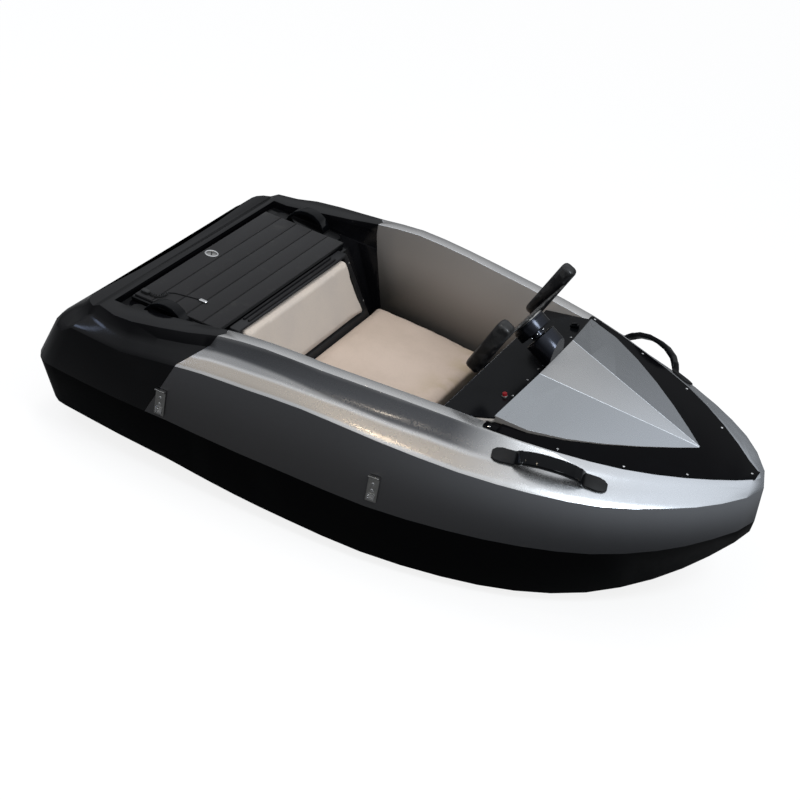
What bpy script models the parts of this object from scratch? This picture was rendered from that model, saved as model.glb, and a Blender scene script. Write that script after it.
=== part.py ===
# Electric boat: one seat, hull 1.94 m long, jet drive under the stern.
# Metres. +X is the bow, +Y the port side, +Z up. The origin is on the floor under the middle of the hull.

import math
from collections import namedtuple

import bpy
import bmesh
from mathutils import Matrix, Vector

# Clearances
FACE_GAP = 0.0003        # between two pieces that touch
RUN_GAP = 0.0008         # around a piece that turns inside another
PAST = 0.010             # how far a cutter runs past the face that it cuts
CUT_DEEP = 0.100         # the same where it runs out of the boat
CUT_HALF = 0.500         # half-width of a cutter that goes across the cockpit

# Hull form. Each row is a place along the boat; the columns are half-breadths and heights of its lines.
HullRow = namedtuple(
    "HullRow",
    "x sheer_y sheer_z knuckle_y knuckle_z paint_y paint_z chine_y chine_z pad_y pad_z hollow",
)
HULL_ROWS = (
    HullRow(-0.668, 0.511, 0.427, 0.553, 0.352, 0.548, 0.204, 0.505, 0.066, 0.200, 0.002, 1.0),
    HullRow(-0.506, 0.494, 0.454, 0.553, 0.378, 0.546, 0.204, 0.510, 0.062, 0.200, 0.000, 1.0),
    HullRow(-0.420, 0.476, 0.471, 0.552, 0.390, 0.546, 0.202, 0.512, 0.056, 0.200, 0.000, 1.0),
    HullRow(-0.290, 0.473, 0.487, 0.550, 0.399, 0.544, 0.200, 0.511, 0.046, 0.200, 0.000, 1.0),
    HullRow(-0.128, 0.461, 0.486, 0.544, 0.408, 0.538, 0.199, 0.507, 0.039, 0.195, 0.000, 1.0),
    HullRow(0.088, 0.430, 0.481, 0.535, 0.404, 0.528, 0.199, 0.492, 0.032, 0.180, 0.000, 0.9),
    HullRow(0.304, 0.395, 0.471, 0.502, 0.393, 0.486, 0.203, 0.442, 0.029, 0.150, 0.000, 0.6),
    HullRow(0.488, 0.340, 0.454, 0.448, 0.386, 0.429, 0.211, 0.370, 0.032, 0.105, 0.004, 0.3),
    HullRow(0.650, 0.270, 0.440, 0.378, 0.385, 0.348, 0.220, 0.270, 0.048, 0.060, 0.022, 0.2),
    HullRow(0.790, 0.171, 0.427, 0.275, 0.391, 0.243, 0.239, 0.165, 0.101, 0.032, 0.070, 0.1),
    HullRow(0.898, 0.067, 0.416, 0.157, 0.394, 0.132, 0.266, 0.078, 0.180, 0.016, 0.155, 0.0),
)

# Ends of each line: where it meets the transom, its corner there, how far forward the middle of
# the transom lies, and where the line meets the stem.
LineEnd = namedtuple("LineEnd", "aft_x aft_y aft_z corner dish stem_x stem_z")
LINE_ENDS = {
    "sheer": LineEnd(-0.849, 0.482, 0.402, 0.060, 0.016, 0.949, 0.408),
    "knuckle": LineEnd(-0.922, 0.542, 0.324, 0.090, 0.0, 0.965, 0.392),
    "paint": LineEnd(-0.970, 0.528, 0.197, 0.085, 0.0, 0.970, 0.287),
    "chine": LineEnd(-0.930, 0.480, 0.062, 0.065, 0.0, 0.967, 0.252),
    "pad": LineEnd(-0.895, 0.200, 0.012, 0.050, 0.0, 0.960, 0.245),
}
STEPS_PER_ROW = 2        # smooth points between two rows of the table
CORNER_STEPS = 4         # points round each corner of the transom
TRANSOM_POINTS = 2       # points from its centre to the corner
TRANSOM_HOLLOW = 0.25    # share of the shoulder's hollow that is left at the transom
SECTION_MIN = 0.004      # shortest step between two sections of the foredeck

# Shoulder between sheer and knuckle: shares of the way out and down, hollow and straight.
SHOULDER_LINES = (
    # out_hollow, down_hollow, out_straight, down_straight
    (0.14, 0.40, 0.20, 0.20),
    (0.42, 0.62, 0.50, 0.46),
    (0.82, 0.82, 0.84, 0.78),
)

# Cockpit
GUNWALE_WIDTH = 0.040
WELL_DRAFT = 0.018       # each side wall leans in by this much from rim to floor
SEAT_FLOOR_Z = 0.176
CUT_TOP_Z = 0.600        # above everything that is cut from the top
WELL_FRONT_X = 0.335
WELL_ROWS_X = (-0.290, -0.128, 0.088, 0.304)
SEAT_RECLINE = math.radians(26.3)
PAD_FOOT_X = -0.371      # front face of the backrest pad at PAD_FOOT_Z
PAD_FOOT_Z = 0.251
PAD_TOP_Z = 0.397
PAD_DEPTH = 0.030        # along X
PAD_HALF_FOOT = 0.324
PAD_HALF_TOP = 0.293
PAD_RIM_DEPTH = 0.006    # how far the pad stands proud of its frame
PAD_CLEAR = 0.003        # between the pad's foot and the cushion
PAD_ROUND = 0.008
FRAME_DEPTH = 0.042      # along X
FRAME_RIM = 0.021
FRAME_TOP_Z = 0.404
CUSHION_TOP_Z = 0.229
CUSHION_FRONT_X = 0.036
CUSHION_CLEARANCE = 0.005
CUSHION_AFT_CLEAR = 0.0006
CUSHION_ROUND = 0.008

# Footwell under the foredeck
FOOTWELL_AFT_X = 0.052
FOOTWELL_FRONT_X = 0.690
FOOTWELL_FLOOR_Z = 0.100
DECK_SKIN = 0.030
# x, half-width
FOOTWELL_ROWS = ((FOOTWELL_AFT_X, 0.345), (0.304, 0.318), (0.488, 0.255), (FOOTWELL_FRONT_X, 0.130))

# Black stern and silver bow part along this line: height, aft position inside and outside the gunwale.
SPLIT_ROWS = (
    # z, x inside, x outside
    (0.100, -0.336, -0.600),
    (0.204, -0.352, -0.575),
    (0.385, -0.407, -0.498),
    (0.440, -0.421, -0.440),
    (0.520, -0.424, -0.410),
)
SPLIT_INNER_Y = 0.440
SPLIT_OUTER_Y = 0.474

# Stern deck recess, hatch and equipment bay
DECK_EDGE = 0.050        # from the gunwale's line at the stern in to the recess
HANDLE_INSET = 0.038     # from the recess's side to the middle of a stern handle
HANDLE_CLEAR = 0.032     # from there to the hatch
HATCH_END_GAP = 0.009    # between the recess's aft end and the hatch
MAT_EDGE = 0.007         # lid that shows around the mat
MAT_EDGE_FRONT = 0.0015
RECESS_AFT_X = -0.776
RECESS_FRONT_X = -0.300
RECESS_HALF = LINE_ENDS["sheer"].aft_y - DECK_EDGE
RECESS_Z = 0.392
STERN_HANDLE_Y = RECESS_HALF - HANDLE_INSET
HATCH_AFT_X = RECESS_AFT_X + HATCH_END_GAP
HATCH_FRONT_X = -0.4885
HATCH_HALF = STERN_HANDLE_Y - HANDLE_CLEAR
HATCH_THICK = 0.014
LID_ROUND = 0.003
MAT_AFT_X = HATCH_AFT_X + MAT_EDGE
MAT_FRONT_X = HATCH_FRONT_X - MAT_EDGE_FRONT
MAT_HALF = HATCH_HALF - MAT_EDGE
MAT_THICK = 0.006
MAT_GROOVES = 4
GROOVE_WIDTH = 0.004
GROOVE_DEPTH = 0.0025
LATCH_X = -0.734
LATCH_RADIUS = 0.021
LATCH_PROUD = 0.0015
BAY_AFT_X = -0.745
BAY_FRONT_X = -0.530
BAY_HALF = 0.310
BAY_FLOOR_Z = 0.150
SUMP_AFT_X = -0.625
SUMP_FRONT_X = -0.455
SUMP_HALF = 0.078
SUMP_FLOOR_Z = 0.028

# Battery and motor
BATTERY_SIZE = (0.170, 0.330, 0.150)
BATTERY_X = -0.655
BATTERY_Y = 0.120
MOTOR_RADIUS = 0.052
MOTOR_AFT_X = -0.610
MOTOR_FRONT_X = -0.470

# Jet drive on the centre line
SHAFT_Z = 0.088
JET_BORE = 0.056
POCKET_FRONT_X = -0.862
POCKET_HALF = 0.115
POCKET_TOP_Z = 0.172
INTAKE_AFT_X = -0.785
INTAKE_FRONT_X = -0.665
INTAKE_HALF = 0.052
INTAKE_TOP_Z = 0.135
PUMP_WALL = 0.006
PUMP_FLANGE_RADIUS = 0.076
PUMP_FLANGE_THICK = 0.006
PUMP_FRONT_X = -0.790
IMPELLER_X = -0.825
IMPELLER_LENGTH = 0.044
IMPELLER_HUB = 0.016
IMPELLER_BLADES = 4
BLADE_TWIST = math.radians(42.0)
SHAFT_RADIUS = 0.008
NOZZLE_PIVOT_X = -0.893
NOZZLE_END_X = -0.955
NOZZLE_RADIUS = 0.047
NOZZLE_END_RADIUS = 0.036
NOZZLE_WALL = 0.004
BORE_SPARE = 0.001       # the bore's cutter is a little wider in front and narrower behind
NOZZLE_GAP = 0.006
EAR_THICK = 0.006
PIVOT_RADIUS = 0.009
PIVOT_GAP = 0.0005
GRILLE_BARS = 5
GRILLE_BAR_RADIUS = 0.0035
DRAIN_Y = 0.200
DRAIN_Z = 0.110
DRAIN_RADIUS = 0.015
DRAIN_GAP = 0.0006
DRAIN_LENGTH = 0.010
DRAIN_TAPER = 0.85
MOTOR_SOCKET = 0.021     # depth of the shaft's hole in the motor
SHAFT_END_GAP = 0.003
EAR_HALF = 0.011
EAR_PAST = 0.010         # the ears run this far past the nozzle's pivot
EAR_CLEAR = 0.002
CHORD_HALF = 0.017       # of an impeller blade
BLADE_HALF_THICK = 0.0015
BLADE_ROOT = 0.8         # the blades start inside the hub, at this share of its radius
GRILLE_Z = 0.010
TIE_HALF = 0.003
TIE_HALF_THICK = 0.002

# Foredeck
PANEL_THICK = 0.002
PANEL_INSET = 0.007
PANEL_AFT_X = 0.3353
PANEL_TIP_X = 0.940
PANEL_TIP_HALF = 0.006
HOOD_AFT_X = 0.3353
HOOD_TIP_X = 0.772
HOOD_HALF = 0.336
HOOD_RIDGE_HALF = 0.117
HOOD_RIDGE_Z = 0.523
HOOD_RIM = 0.009
HOOD_CURVE = 1.46
HOOD_MID = 0.914         # share of the way from ridge to rim where its aft edge bends
HOOD_MID_X = 0.3133
HOOD_RIM_X = 0.312
HOOD_OVER_DASH = 0.005   # height of its swept edge over the dash
HOOD_FALL = 0.250        # the side facets fall this much for each metre ahead
HOOD_TIP_RISE = 0.005
HOOD_TIP_HALF = 0.004
HOOD_EDGE = 0.001        # thinnest rim and narrowest ridge at the tip
HOOD_UNDER = 0.100       # depth of the cut under the swept edge

# Dash
DASH_FOOT = (0.166, 0.440)
DASH_HEAD = (0.335, 0.4857)
DASH_LIP = 0.014
DASH_KNEE = 0.065        # flat part of the console's underside at its front
DASH_FOOT_EDGE = 0.002   # silver that shows below the black panel
DASH_SPARE = 0.050       # the console's side faces are cut this far above and below it
DASH_PANEL_THICK = 0.004
DASH_PANEL_CLEAR = 0.008
DASH_PANEL_EDGE = 0.005

# Helm. The column leans back from the dash towards the seat.
COLUMN_RISE = math.radians(32.0)
WHEEL_CENTRE = (0.2275, 0.0, 0.5910)
PLATE_THICK = 0.005
HUB_RADIUS = 0.049
HUB_LENGTH = 0.040
HUB_NECK_RADIUS = 0.022
HUB_NECK_LENGTH = 0.014
BOSS_RADIUS = 0.046
BOSS_GAP = 0.0005
BOSS_LENGTH = 0.120      # before its foot is cut to the dash
BOSS_HOOD_GAP = 0.0006
HELM_CUT_HALF = 0.200
HELM_CUT_DEEP = 0.300
PLATE_SPAN = 0.214
GRIP_SIZE = (0.043, 0.182, 0.044)
GRIP_AT = (0.208, -0.004, 0.013)    # across, up and towards the driver from the wheel's centre
GRIP_ROUND = 0.013
GRIP_SWEEP = math.radians(6.0)
GRIP_LEAN = math.radians(8.0)

# Small fittings
# name, place on the dash, radius, height, material
SWITCHES = (
    ("red_switch", (0.288, -0.217), 0.007, 0.012, "red_plastic"),
    ("black_knob", (0.286, 0.272), 0.011, 0.016, "dark_plastic"),
)
SWITCH_TAPER = 0.9
HANDLE_STRAP = 0.042
HANDLE_LIFT = 0.0015     # under a bow handle, because the shoulder is slightly curved
STERN_HANDLE_AFT = (-0.742, STERN_HANDLE_Y)
STERN_HANDLE_FRONT = (-0.522, STERN_HANDLE_Y)
STERN_HANDLE_RISE = 0.045
BOW_HANDLE_AFT = (0.352, 0.422)
BOW_HANDLE_FRONT = (0.640, 0.332)
BOW_HANDLE_RISE = 0.040
BOW_HANDLE_LEAN = 0.25   # outboard shift of the arch as a share of its height
BRACKET_WIDTH = 0.030
BRACKET_HEIGHT = 0.078
BRACKET_THICK = 0.003
BRACKET_LIP = 0.012
SIDE_GAP = 0.00115        # behind a bracket, because the side is slightly curved
# name, x, lower edge
BRACKETS = (("aft", -0.530, 0.214), ("fore", 0.101, 0.222))

# Safety lanyard lying on the hatch mat, measured from the mat's aft starboard corner
COIL_RADIUS = 0.0055
CORD_RADIUS = 0.0016
CORD_RISE = 0.001        # of the cord near its ends
LANYARD_Z = MAT_THICK + HATCH_THICK + RECESS_Z
CLIP_BOX = ((0.008, 0.013), (0.032, 0.029))
CLIP_HIGH = 0.011
CLIP_ROUND = 0.002
HOOK_BOX = ((0.1484, 0.0885), (0.172, 0.0995))
HOOK_HIGH = 0.006
HOOK_ROUND = 0.0015
COIL_ROUTE = ((0.0323, 0.021), (0.038, 0.021), (0.050, 0.020), (0.060, 0.026), (0.065, 0.037),
              (0.067, 0.049), (0.067, 0.054))
LOOP_ROUTE = ((0.070, 0.068, CORD_RISE), (0.080, 0.078, 0.0), (0.105, 0.085, 0.0), (0.130, 0.092, 0.0),
              (0.143, 0.094, CORD_RISE), (0.148, 0.094, CORD_RISE))
CORD_STARTS = ((0.067, 0.0543), (0.067, 0.058))

BLACK = (0.012, 0.012, 0.013)
GLOSS_BLACK = (0.008, 0.008, 0.009)
SILVER = (0.42, 0.42, 0.41)
EVA = (0.055, 0.053, 0.055)
CREAM = (0.62, 0.55, 0.47)
TAN = (0.60, 0.47, 0.36)
STEEL = (0.60, 0.60, 0.58)
RED = (0.60, 0.03, 0.03)


def start_scene():
    for obj in list(bpy.data.objects):
        bpy.data.objects.remove(obj, do_unlink=True)
    parts = bpy.data.collections.new("electric_boat")
    cutters = bpy.data.collections.new("cutters")
    bpy.context.scene.collection.children.link(parts)
    bpy.context.scene.collection.children.link(cutters)
    return parts, cutters


def make_material(name, colour, roughness, metallic):
    material = bpy.data.materials.new(name)
    material.use_nodes = True
    shader = material.node_tree.nodes["Principled BSDF"]
    shader.inputs["Base Color"].default_value = (*colour, 1.0)
    shader.inputs["Roughness"].default_value = roughness
    shader.inputs["Metallic"].default_value = metallic
    return material


PARTS, CUTTERS = start_scene()
MATERIALS = {
    "hull_black": make_material("hull_black", BLACK, 0.35, 0.0),
    "gloss_black": make_material("gloss_black", GLOSS_BLACK, 0.12, 0.0),
    "silver_paint": make_material("silver_paint", SILVER, 0.30, 0.7),
    "panel_black": make_material("panel_black", GLOSS_BLACK, 0.10, 0.0),
    "deck_foam": make_material("deck_foam", EVA, 0.85, 0.0),
    "cream_vinyl": make_material("cream_vinyl", CREAM, 0.60, 0.0),
    "tan_vinyl": make_material("tan_vinyl", TAN, 0.70, 0.0),
    "black_rubber": make_material("black_rubber", (0.02, 0.02, 0.02), 0.60, 0.0),
    "carbon_sheet": make_material("carbon_sheet", (0.03, 0.03, 0.03), 0.25, 0.2),
    "black_metal": make_material("black_metal", (0.02, 0.02, 0.022), 0.30, 0.9),
    "stainless": make_material("stainless", STEEL, 0.25, 1.0),
    "cast_aluminium": make_material("cast_aluminium", (0.55, 0.55, 0.56), 0.45, 1.0),
    "red_plastic": make_material("red_plastic", RED, 0.40, 0.0),
    "dark_plastic": make_material("dark_plastic", (0.03, 0.03, 0.03), 0.50, 0.0),
}


def add_mesh(name, bm, slot, smooth_angle=None):
    """Turn a bmesh into a named object of the boat."""
    bmesh.ops.recalc_face_normals(bm, faces=bm.faces)
    mesh = bpy.data.meshes.new(name)
    bm.to_mesh(mesh)
    bm.free()
    obj = bpy.data.objects.new(name, mesh)
    if slot is None:
        CUTTERS.objects.link(obj)
        obj.hide_render = True
        obj.display_type = "WIRE"
    else:
        mesh.materials.append(MATERIALS[slot])
        PARTS.objects.link(obj)
    if smooth_angle is not None:
        mesh.shade_smooth()
        mesh.set_sharp_from_angle(angle=smooth_angle)
    return obj


def box_bmesh(low, high):
    bm = bmesh.new()
    bmesh.ops.create_cube(bm, size=1.0)
    size = [high[i] - low[i] for i in range(3)]
    middle = [(high[i] + low[i]) / 2 for i in range(3)]
    bmesh.ops.scale(bm, vec=size, verts=bm.verts)
    bmesh.ops.translate(bm, vec=middle, verts=bm.verts)
    return bm


def add_box(name, low, high, slot):
    return add_mesh(name, box_bmesh(low, high), slot)


def add_cone(bm, start, end, start_radius, end_radius, segments):
    """Add a closed cylinder or cone from start to end."""
    start = Vector(start)
    end = Vector(end)
    along = end - start
    turn = along.to_track_quat("Z", "Y").to_matrix().to_4x4()
    place = Matrix.Translation((start + end) / 2) @ turn
    bmesh.ops.create_cone(
        bm, cap_ends=True, segments=segments,
        radius1=start_radius, radius2=end_radius, depth=along.length, matrix=place,
    )


def add_cylinder(name, start, end, radius, slot, segments=32, end_radius=None):
    bm = bmesh.new()
    add_cone(bm, start, end, radius, radius if end_radius is None else end_radius, segments)
    return add_mesh(name, bm, slot, math.radians(40))


def boolean(obj, other, operation):
    modifier = obj.modifiers.new(operation.lower(), "BOOLEAN")
    modifier.operation = operation
    modifier.solver = "EXACT"
    modifier.object = other


def cut(obj, *others):
    for other in others:
        boolean(obj, other, "DIFFERENCE")


def bevel(obj, width, segments=2, angle=math.radians(40)):
    modifier = obj.modifiers.new("bevel", "BEVEL")
    modifier.width = width
    modifier.segments = segments
    modifier.limit_method = "ANGLE"
    modifier.angle_limit = angle


def extrude_outline(bm, outline, shift):
    """Fill a planar outline and extrude it by a vector into a closed solid."""
    face = bm.faces.new([bm.verts.new(point) for point in outline])
    lifted = bmesh.ops.extrude_face_region(bm, geom=[face])
    moved = [item for item in lifted["geom"] if isinstance(item, bmesh.types.BMVert)]
    bmesh.ops.translate(bm, vec=shift, verts=moved)


def add_prism(name, outline, shift, slot):
    bm = bmesh.new()
    extrude_outline(bm, outline, shift)
    return add_mesh(name, bm, slot)


def loft_rings(bm, rings, close_ends=True):
    """Join rings of equal length by quads; the caps are strips from port to starboard or one face."""
    made = [[bm.verts.new(point) for point in ring] for ring in rings]
    count = len(made[0])
    for lower, upper in zip(made, made[1:]):
        for i in range(count):
            j = (i + 1) % count
            bm.faces.new((lower[i], lower[j], upper[j], upper[i]))
    if close_ends:
        bm.faces.new(made[0])
        bm.faces.new(made[-1])
    return made


def cap_across(bm, ring):
    """Close a ring that runs transom centre, port, stem, starboard with strips across the boat."""
    first = TRANSOM_POINTS + 1
    bm.faces.new(ring[:first + 1] + ring[-first:])
    middle = len(ring) // 2
    for i in range(first, middle - 1):
        bm.faces.new((ring[i], ring[i + 1], ring[-i - 1], ring[-i]))
    bm.faces.new((ring[middle - 1], ring[middle], ring[middle + 1]))


def smooth_chain(points, steps):
    """Catmull-Rom points through a list of tuples, with steps points between neighbours."""
    result = []
    for a, b, c, d in zip(points, points[1:], points[2:], points[3:]):
        for k in range(steps):
            t = k / steps
            result.append(tuple(
                0.5 * (2 * q + (r - p) * t + (2 * p - 5 * q + 4 * r - s) * t * t
                       + (3 * q - p - 3 * r + s) * t ** 3)
                for p, q, r, s in zip(a, b, c, d)
            ))
    result.append(tuple(points[-2]))
    return result


def half_line(line):
    """Port half of one hull line from transom centre to stem, as (x, y, z, hollow)."""
    end = LINE_ENDS[line]
    lowest = min(getattr(row, line + "_z") for row in HULL_ROWS)
    first = (end.aft_x + end.corner, end.aft_y, end.aft_z, 1.0)
    rows = [
        (row.x, getattr(row, line + "_y"), getattr(row, line + "_z"), row.hollow)
        for row in HULL_ROWS
    ]
    stem = (end.stem_x, 0.0, end.stem_z, 0.0)
    before = tuple(2 * a - b for a, b in zip(first, rows[0]))
    mirrored = (rows[-1][0], -rows[-1][1], rows[-1][2], rows[-1][3])
    side = smooth_chain([before, first, *rows, stem, mirrored], STEPS_PER_ROW)
    side = [(x, y, max(z, lowest), hollow) for x, y, z, hollow in side]
    centre_x = end.aft_x + end.corner
    centre_y = end.aft_y - end.corner
    corner = []
    for k in range(CORNER_STEPS):
        angle = math.pi - k / CORNER_STEPS * math.pi / 2
        corner.append((
            centre_x + end.corner * math.cos(angle),
            centre_y + end.corner * math.sin(angle),
            end.aft_z, TRANSOM_HOLLOW + (1 - TRANSOM_HOLLOW) * k / CORNER_STEPS,
        ))
    transom = []
    for k in range(TRANSOM_POINTS):
        share = k / TRANSOM_POINTS
        dish = end.dish * (1 - share ** 2)
        transom.append((end.aft_x + dish, centre_y * share, end.aft_z, TRANSOM_HOLLOW))
    return transom + corner + side


def full_ring(half):
    """Closed ring from a half line: transom centre, port side, stem, starboard side."""
    port = [Vector(point[:3]) for point in half]
    starboard = [Vector((p.x, -p.y, p.z)) for p in reversed(port[1:-1])]
    return port + starboard


LINES = {line: half_line(line) for line in LINE_ENDS}


def shoulder_line(out_hollow, down_hollow, out_straight, down_straight):
    """A line between sheer and knuckle, deeper where the row's hollow is larger."""
    line = []
    for sheer, knuckle in zip(LINES["sheer"], LINES["knuckle"]):
        hollow = sheer[3]
        out = out_straight + (out_hollow - out_straight) * hollow
        down = down_straight + (down_hollow - down_straight) * hollow
        line.append((
            sheer[0] + (knuckle[0] - sheer[0]) * out,
            sheer[1] + (knuckle[1] - sheer[1]) * out,
            sheer[2] + (knuckle[2] - sheer[2]) * down,
            hollow,
        ))
    return line


def line_at(line, x):
    """Half-breadth and height of a hull line at x, read along its side."""
    points = [p for p in LINES[line] if p[1] > 0]
    for a, b in zip(points, points[1:]):
        if a[0] <= x <= b[0] and b[0] > a[0]:
            t = (x - a[0]) / (b[0] - a[0])
            return a[1] + (b[1] - a[1]) * t, a[2] + (b[2] - a[2]) * t
    return points[-1][1], points[-1][2]


def rim_half(x):
    """Inner edge of the gunwale."""
    return line_at("sheer", x)[0] - GUNWALE_WIDTH


def deck_z(x):
    return line_at("sheer", x)[1]


def recline_x(x_at_foot, z):
    """X of a plane that leans back with the seat, given its x at the height of the pad's foot."""
    return x_at_foot - math.tan(SEAT_RECLINE) * (z - PAD_FOOT_Z)


def hull_solid(name, lines, lift, slot):
    """Closed solid between the lowest and highest of some hull lines."""
    bm = bmesh.new()
    rings = [full_ring(line) for line in lines]
    for point in rings[0]:
        point.z += lift
    made = loft_rings(bm, rings, close_ends=False)
    cap_across(bm, made[0])
    cap_across(bm, made[-1])
    return add_mesh(name, bm, slot, math.radians(35))


# Cutters that several pieces share

def well_rows():
    """Side walls of the cockpit: x, half-width at the floor and half-width at the top of the cutter."""
    rear_foot_x = PAD_FOOT_X + PAD_RIM_DEPTH - FRAME_DEPTH - FACE_GAP
    rear_low = recline_x(rear_foot_x, SEAT_FLOOR_Z)
    rows = []
    for x in (rear_low, *WELL_ROWS_X, WELL_FRONT_X):
        rim = rim_half(x)
        lean = WELL_DRAFT / (deck_z(x) - SEAT_FLOOR_Z)
        low = rim - WELL_DRAFT
        rows.append((x, low, low + lean * (CUT_TOP_Z - SEAT_FLOOR_Z)))
    return rows


def well_half(x, z):
    """Half-width of the cockpit at x and z."""
    rows = well_rows()
    share = (z - SEAT_FLOOR_Z) / (CUT_TOP_Z - SEAT_FLOOR_Z)
    x = min(max(x, rows[0][0]), rows[-1][0])
    for (x0, low0, high0), (x1, low1, high1) in zip(rows, rows[1:]):
        if x0 <= x <= x1:
            t = (x - x0) / (x1 - x0)
            low = low0 + (low1 - low0) * t
            high = high0 + (high1 - high0) * t
            return low + (high - low) * share
    return rows[-1][1]


def well_cutter():
    """The cockpit: leaning rear wall, side walls that follow the gunwale, straight front."""
    rings = []
    rows = well_rows()
    rear_high = recline_x(rows[0][0], CUT_TOP_Z) - recline_x(rows[0][0], SEAT_FLOOR_Z)
    for x, low, high in rows:
        top_x = x + rear_high if x == rows[0][0] else x
        rings.append([
            (x, -low, SEAT_FLOOR_Z), (x, low, SEAT_FLOOR_Z),
            (top_x, high, CUT_TOP_Z), (top_x, -high, CUT_TOP_Z),
        ])
    bm = bmesh.new()
    loft_rings(bm, rings)
    return add_mesh("cut_well", bm, None)


def footwell_cutter():
    rings = []
    for x, half in FOOTWELL_ROWS:
        top = deck_z(max(x, WELL_FRONT_X)) - DECK_SKIN
        rings.append([
            (x, -half, FOOTWELL_FLOOR_Z), (x, half, FOOTWELL_FLOOR_Z), (x, half, top), (x, -half, top),
        ])
    bm = bmesh.new()
    loft_rings(bm, rings)
    return add_mesh("cut_footwell", bm, None)


def split_cutter(name, shift):
    """Everything aft of the line where black turns to silver, moved by shift along X."""
    far_y = LINE_ENDS["knuckle"].aft_y + CUT_DEEP
    aft_x = LINE_ENDS["paint"].aft_x - CUT_DEEP
    columns = [(-far_y, 2), (-SPLIT_OUTER_Y, 2), (-SPLIT_INNER_Y, 1), (SPLIT_INNER_Y, 1),
               (SPLIT_OUTER_Y, 2), (far_y, 2)]
    bm = bmesh.new()
    front = [[bm.verts.new((row[k] + shift, y, row[0])) for y, k in columns] for row in SPLIT_ROWS]
    back = [[bm.verts.new((aft_x, y, row[0])) for y, _ in columns] for row in SPLIT_ROWS]
    rows = len(SPLIT_ROWS)
    for i in range(rows - 1):
        for j in range(len(columns) - 1):
            bm.faces.new((front[i][j], front[i][j + 1], front[i + 1][j + 1], front[i + 1][j]))
            bm.faces.new((back[i][j], back[i + 1][j], back[i + 1][j + 1], back[i][j + 1]))
        for j in (0, -1):
            bm.faces.new((front[i][j], front[i + 1][j], back[i + 1][j], back[i][j]))
    for i in (0, -1):
        for j in range(len(columns) - 1):
            bm.faces.new((front[i][j], front[i][j + 1], back[i][j + 1], back[i][j]))
    bmesh.ops.triangulate(bm, faces=bm.faces)
    return add_mesh(name, bm, None)


def bay_cutters():
    bay = add_box("cut_bay", (BAY_AFT_X, -BAY_HALF, BAY_FLOOR_Z), (BAY_FRONT_X, BAY_HALF, CUT_TOP_Z), None)
    sump = add_box(
        "cut_sump", (SUMP_AFT_X, -SUMP_HALF, SUMP_FLOOR_Z),
        (SUMP_FRONT_X, SUMP_HALF, BAY_FLOOR_Z + PAST), None,
    )
    return bay, sump


def jet_cutters():
    """Pocket under the stern, pump bore, intake mouth and shaft hole."""
    aft_x = LINE_ENDS["paint"].aft_x - CUT_DEEP
    pocket = add_box(
        "cut_pocket", (aft_x, -POCKET_HALF, -CUT_DEEP), (POCKET_FRONT_X, POCKET_HALF, POCKET_TOP_Z), None,
    )
    bore = add_cylinder(
        "cut_bore", (POCKET_FRONT_X - PAST, 0, SHAFT_Z), (INTAKE_AFT_X + PAST, 0, SHAFT_Z), JET_BORE, None,
    )
    intake = add_box(
        "cut_intake", (INTAKE_AFT_X, -INTAKE_HALF, -CUT_DEEP),
        (INTAKE_FRONT_X, INTAKE_HALF, INTAKE_TOP_Z), None,
    )
    shaft = add_cylinder(
        "cut_shaft", (INTAKE_FRONT_X - PAST, 0, SHAFT_Z), (SUMP_AFT_X + PAST, 0, SHAFT_Z),
        SHAFT_RADIUS + RUN_GAP, None, 16,
    )
    return pocket, bore, intake, shaft


WELL = well_cutter()
FOOTWELL = footwell_cutter()
BAY, SUMP = bay_cutters()
JET = jet_cutters()


def build_hull():
    """Black lower hull up to the paint line."""
    hull = hull_solid("lower_hull", [LINES["pad"], LINES["chine"], LINES["paint"]], 0.0, "hull_black")
    cut(hull, WELL, FOOTWELL, BAY, SUMP, *JET)
    return hull


def build_topsides():
    """Silver deck moulding and black stern moulding, from the paint line to the gunwale."""
    shoulders = [shoulder_line(*row) for row in reversed(SHOULDER_LINES)]
    lines = [LINES["paint"], LINES["knuckle"], *shoulders, LINES["sheer"]]
    deck = hull_solid("deck_moulding", lines, FACE_GAP, "silver_paint")
    stern = hull_solid("stern_moulding", lines, FACE_GAP, "gloss_black")
    cut(deck, split_cutter("cut_split_deck", FACE_GAP), WELL, FOOTWELL)
    boolean(stern, split_cutter("cut_split_stern", 0.0), "INTERSECT")
    recess = add_box(
        "cut_recess", (RECESS_AFT_X, -RECESS_HALF, RECESS_Z),
        (RECESS_FRONT_X, RECESS_HALF, CUT_TOP_Z), None,
    )
    cut(stern, WELL, recess, BAY, JET[0])
    return deck, stern


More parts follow.
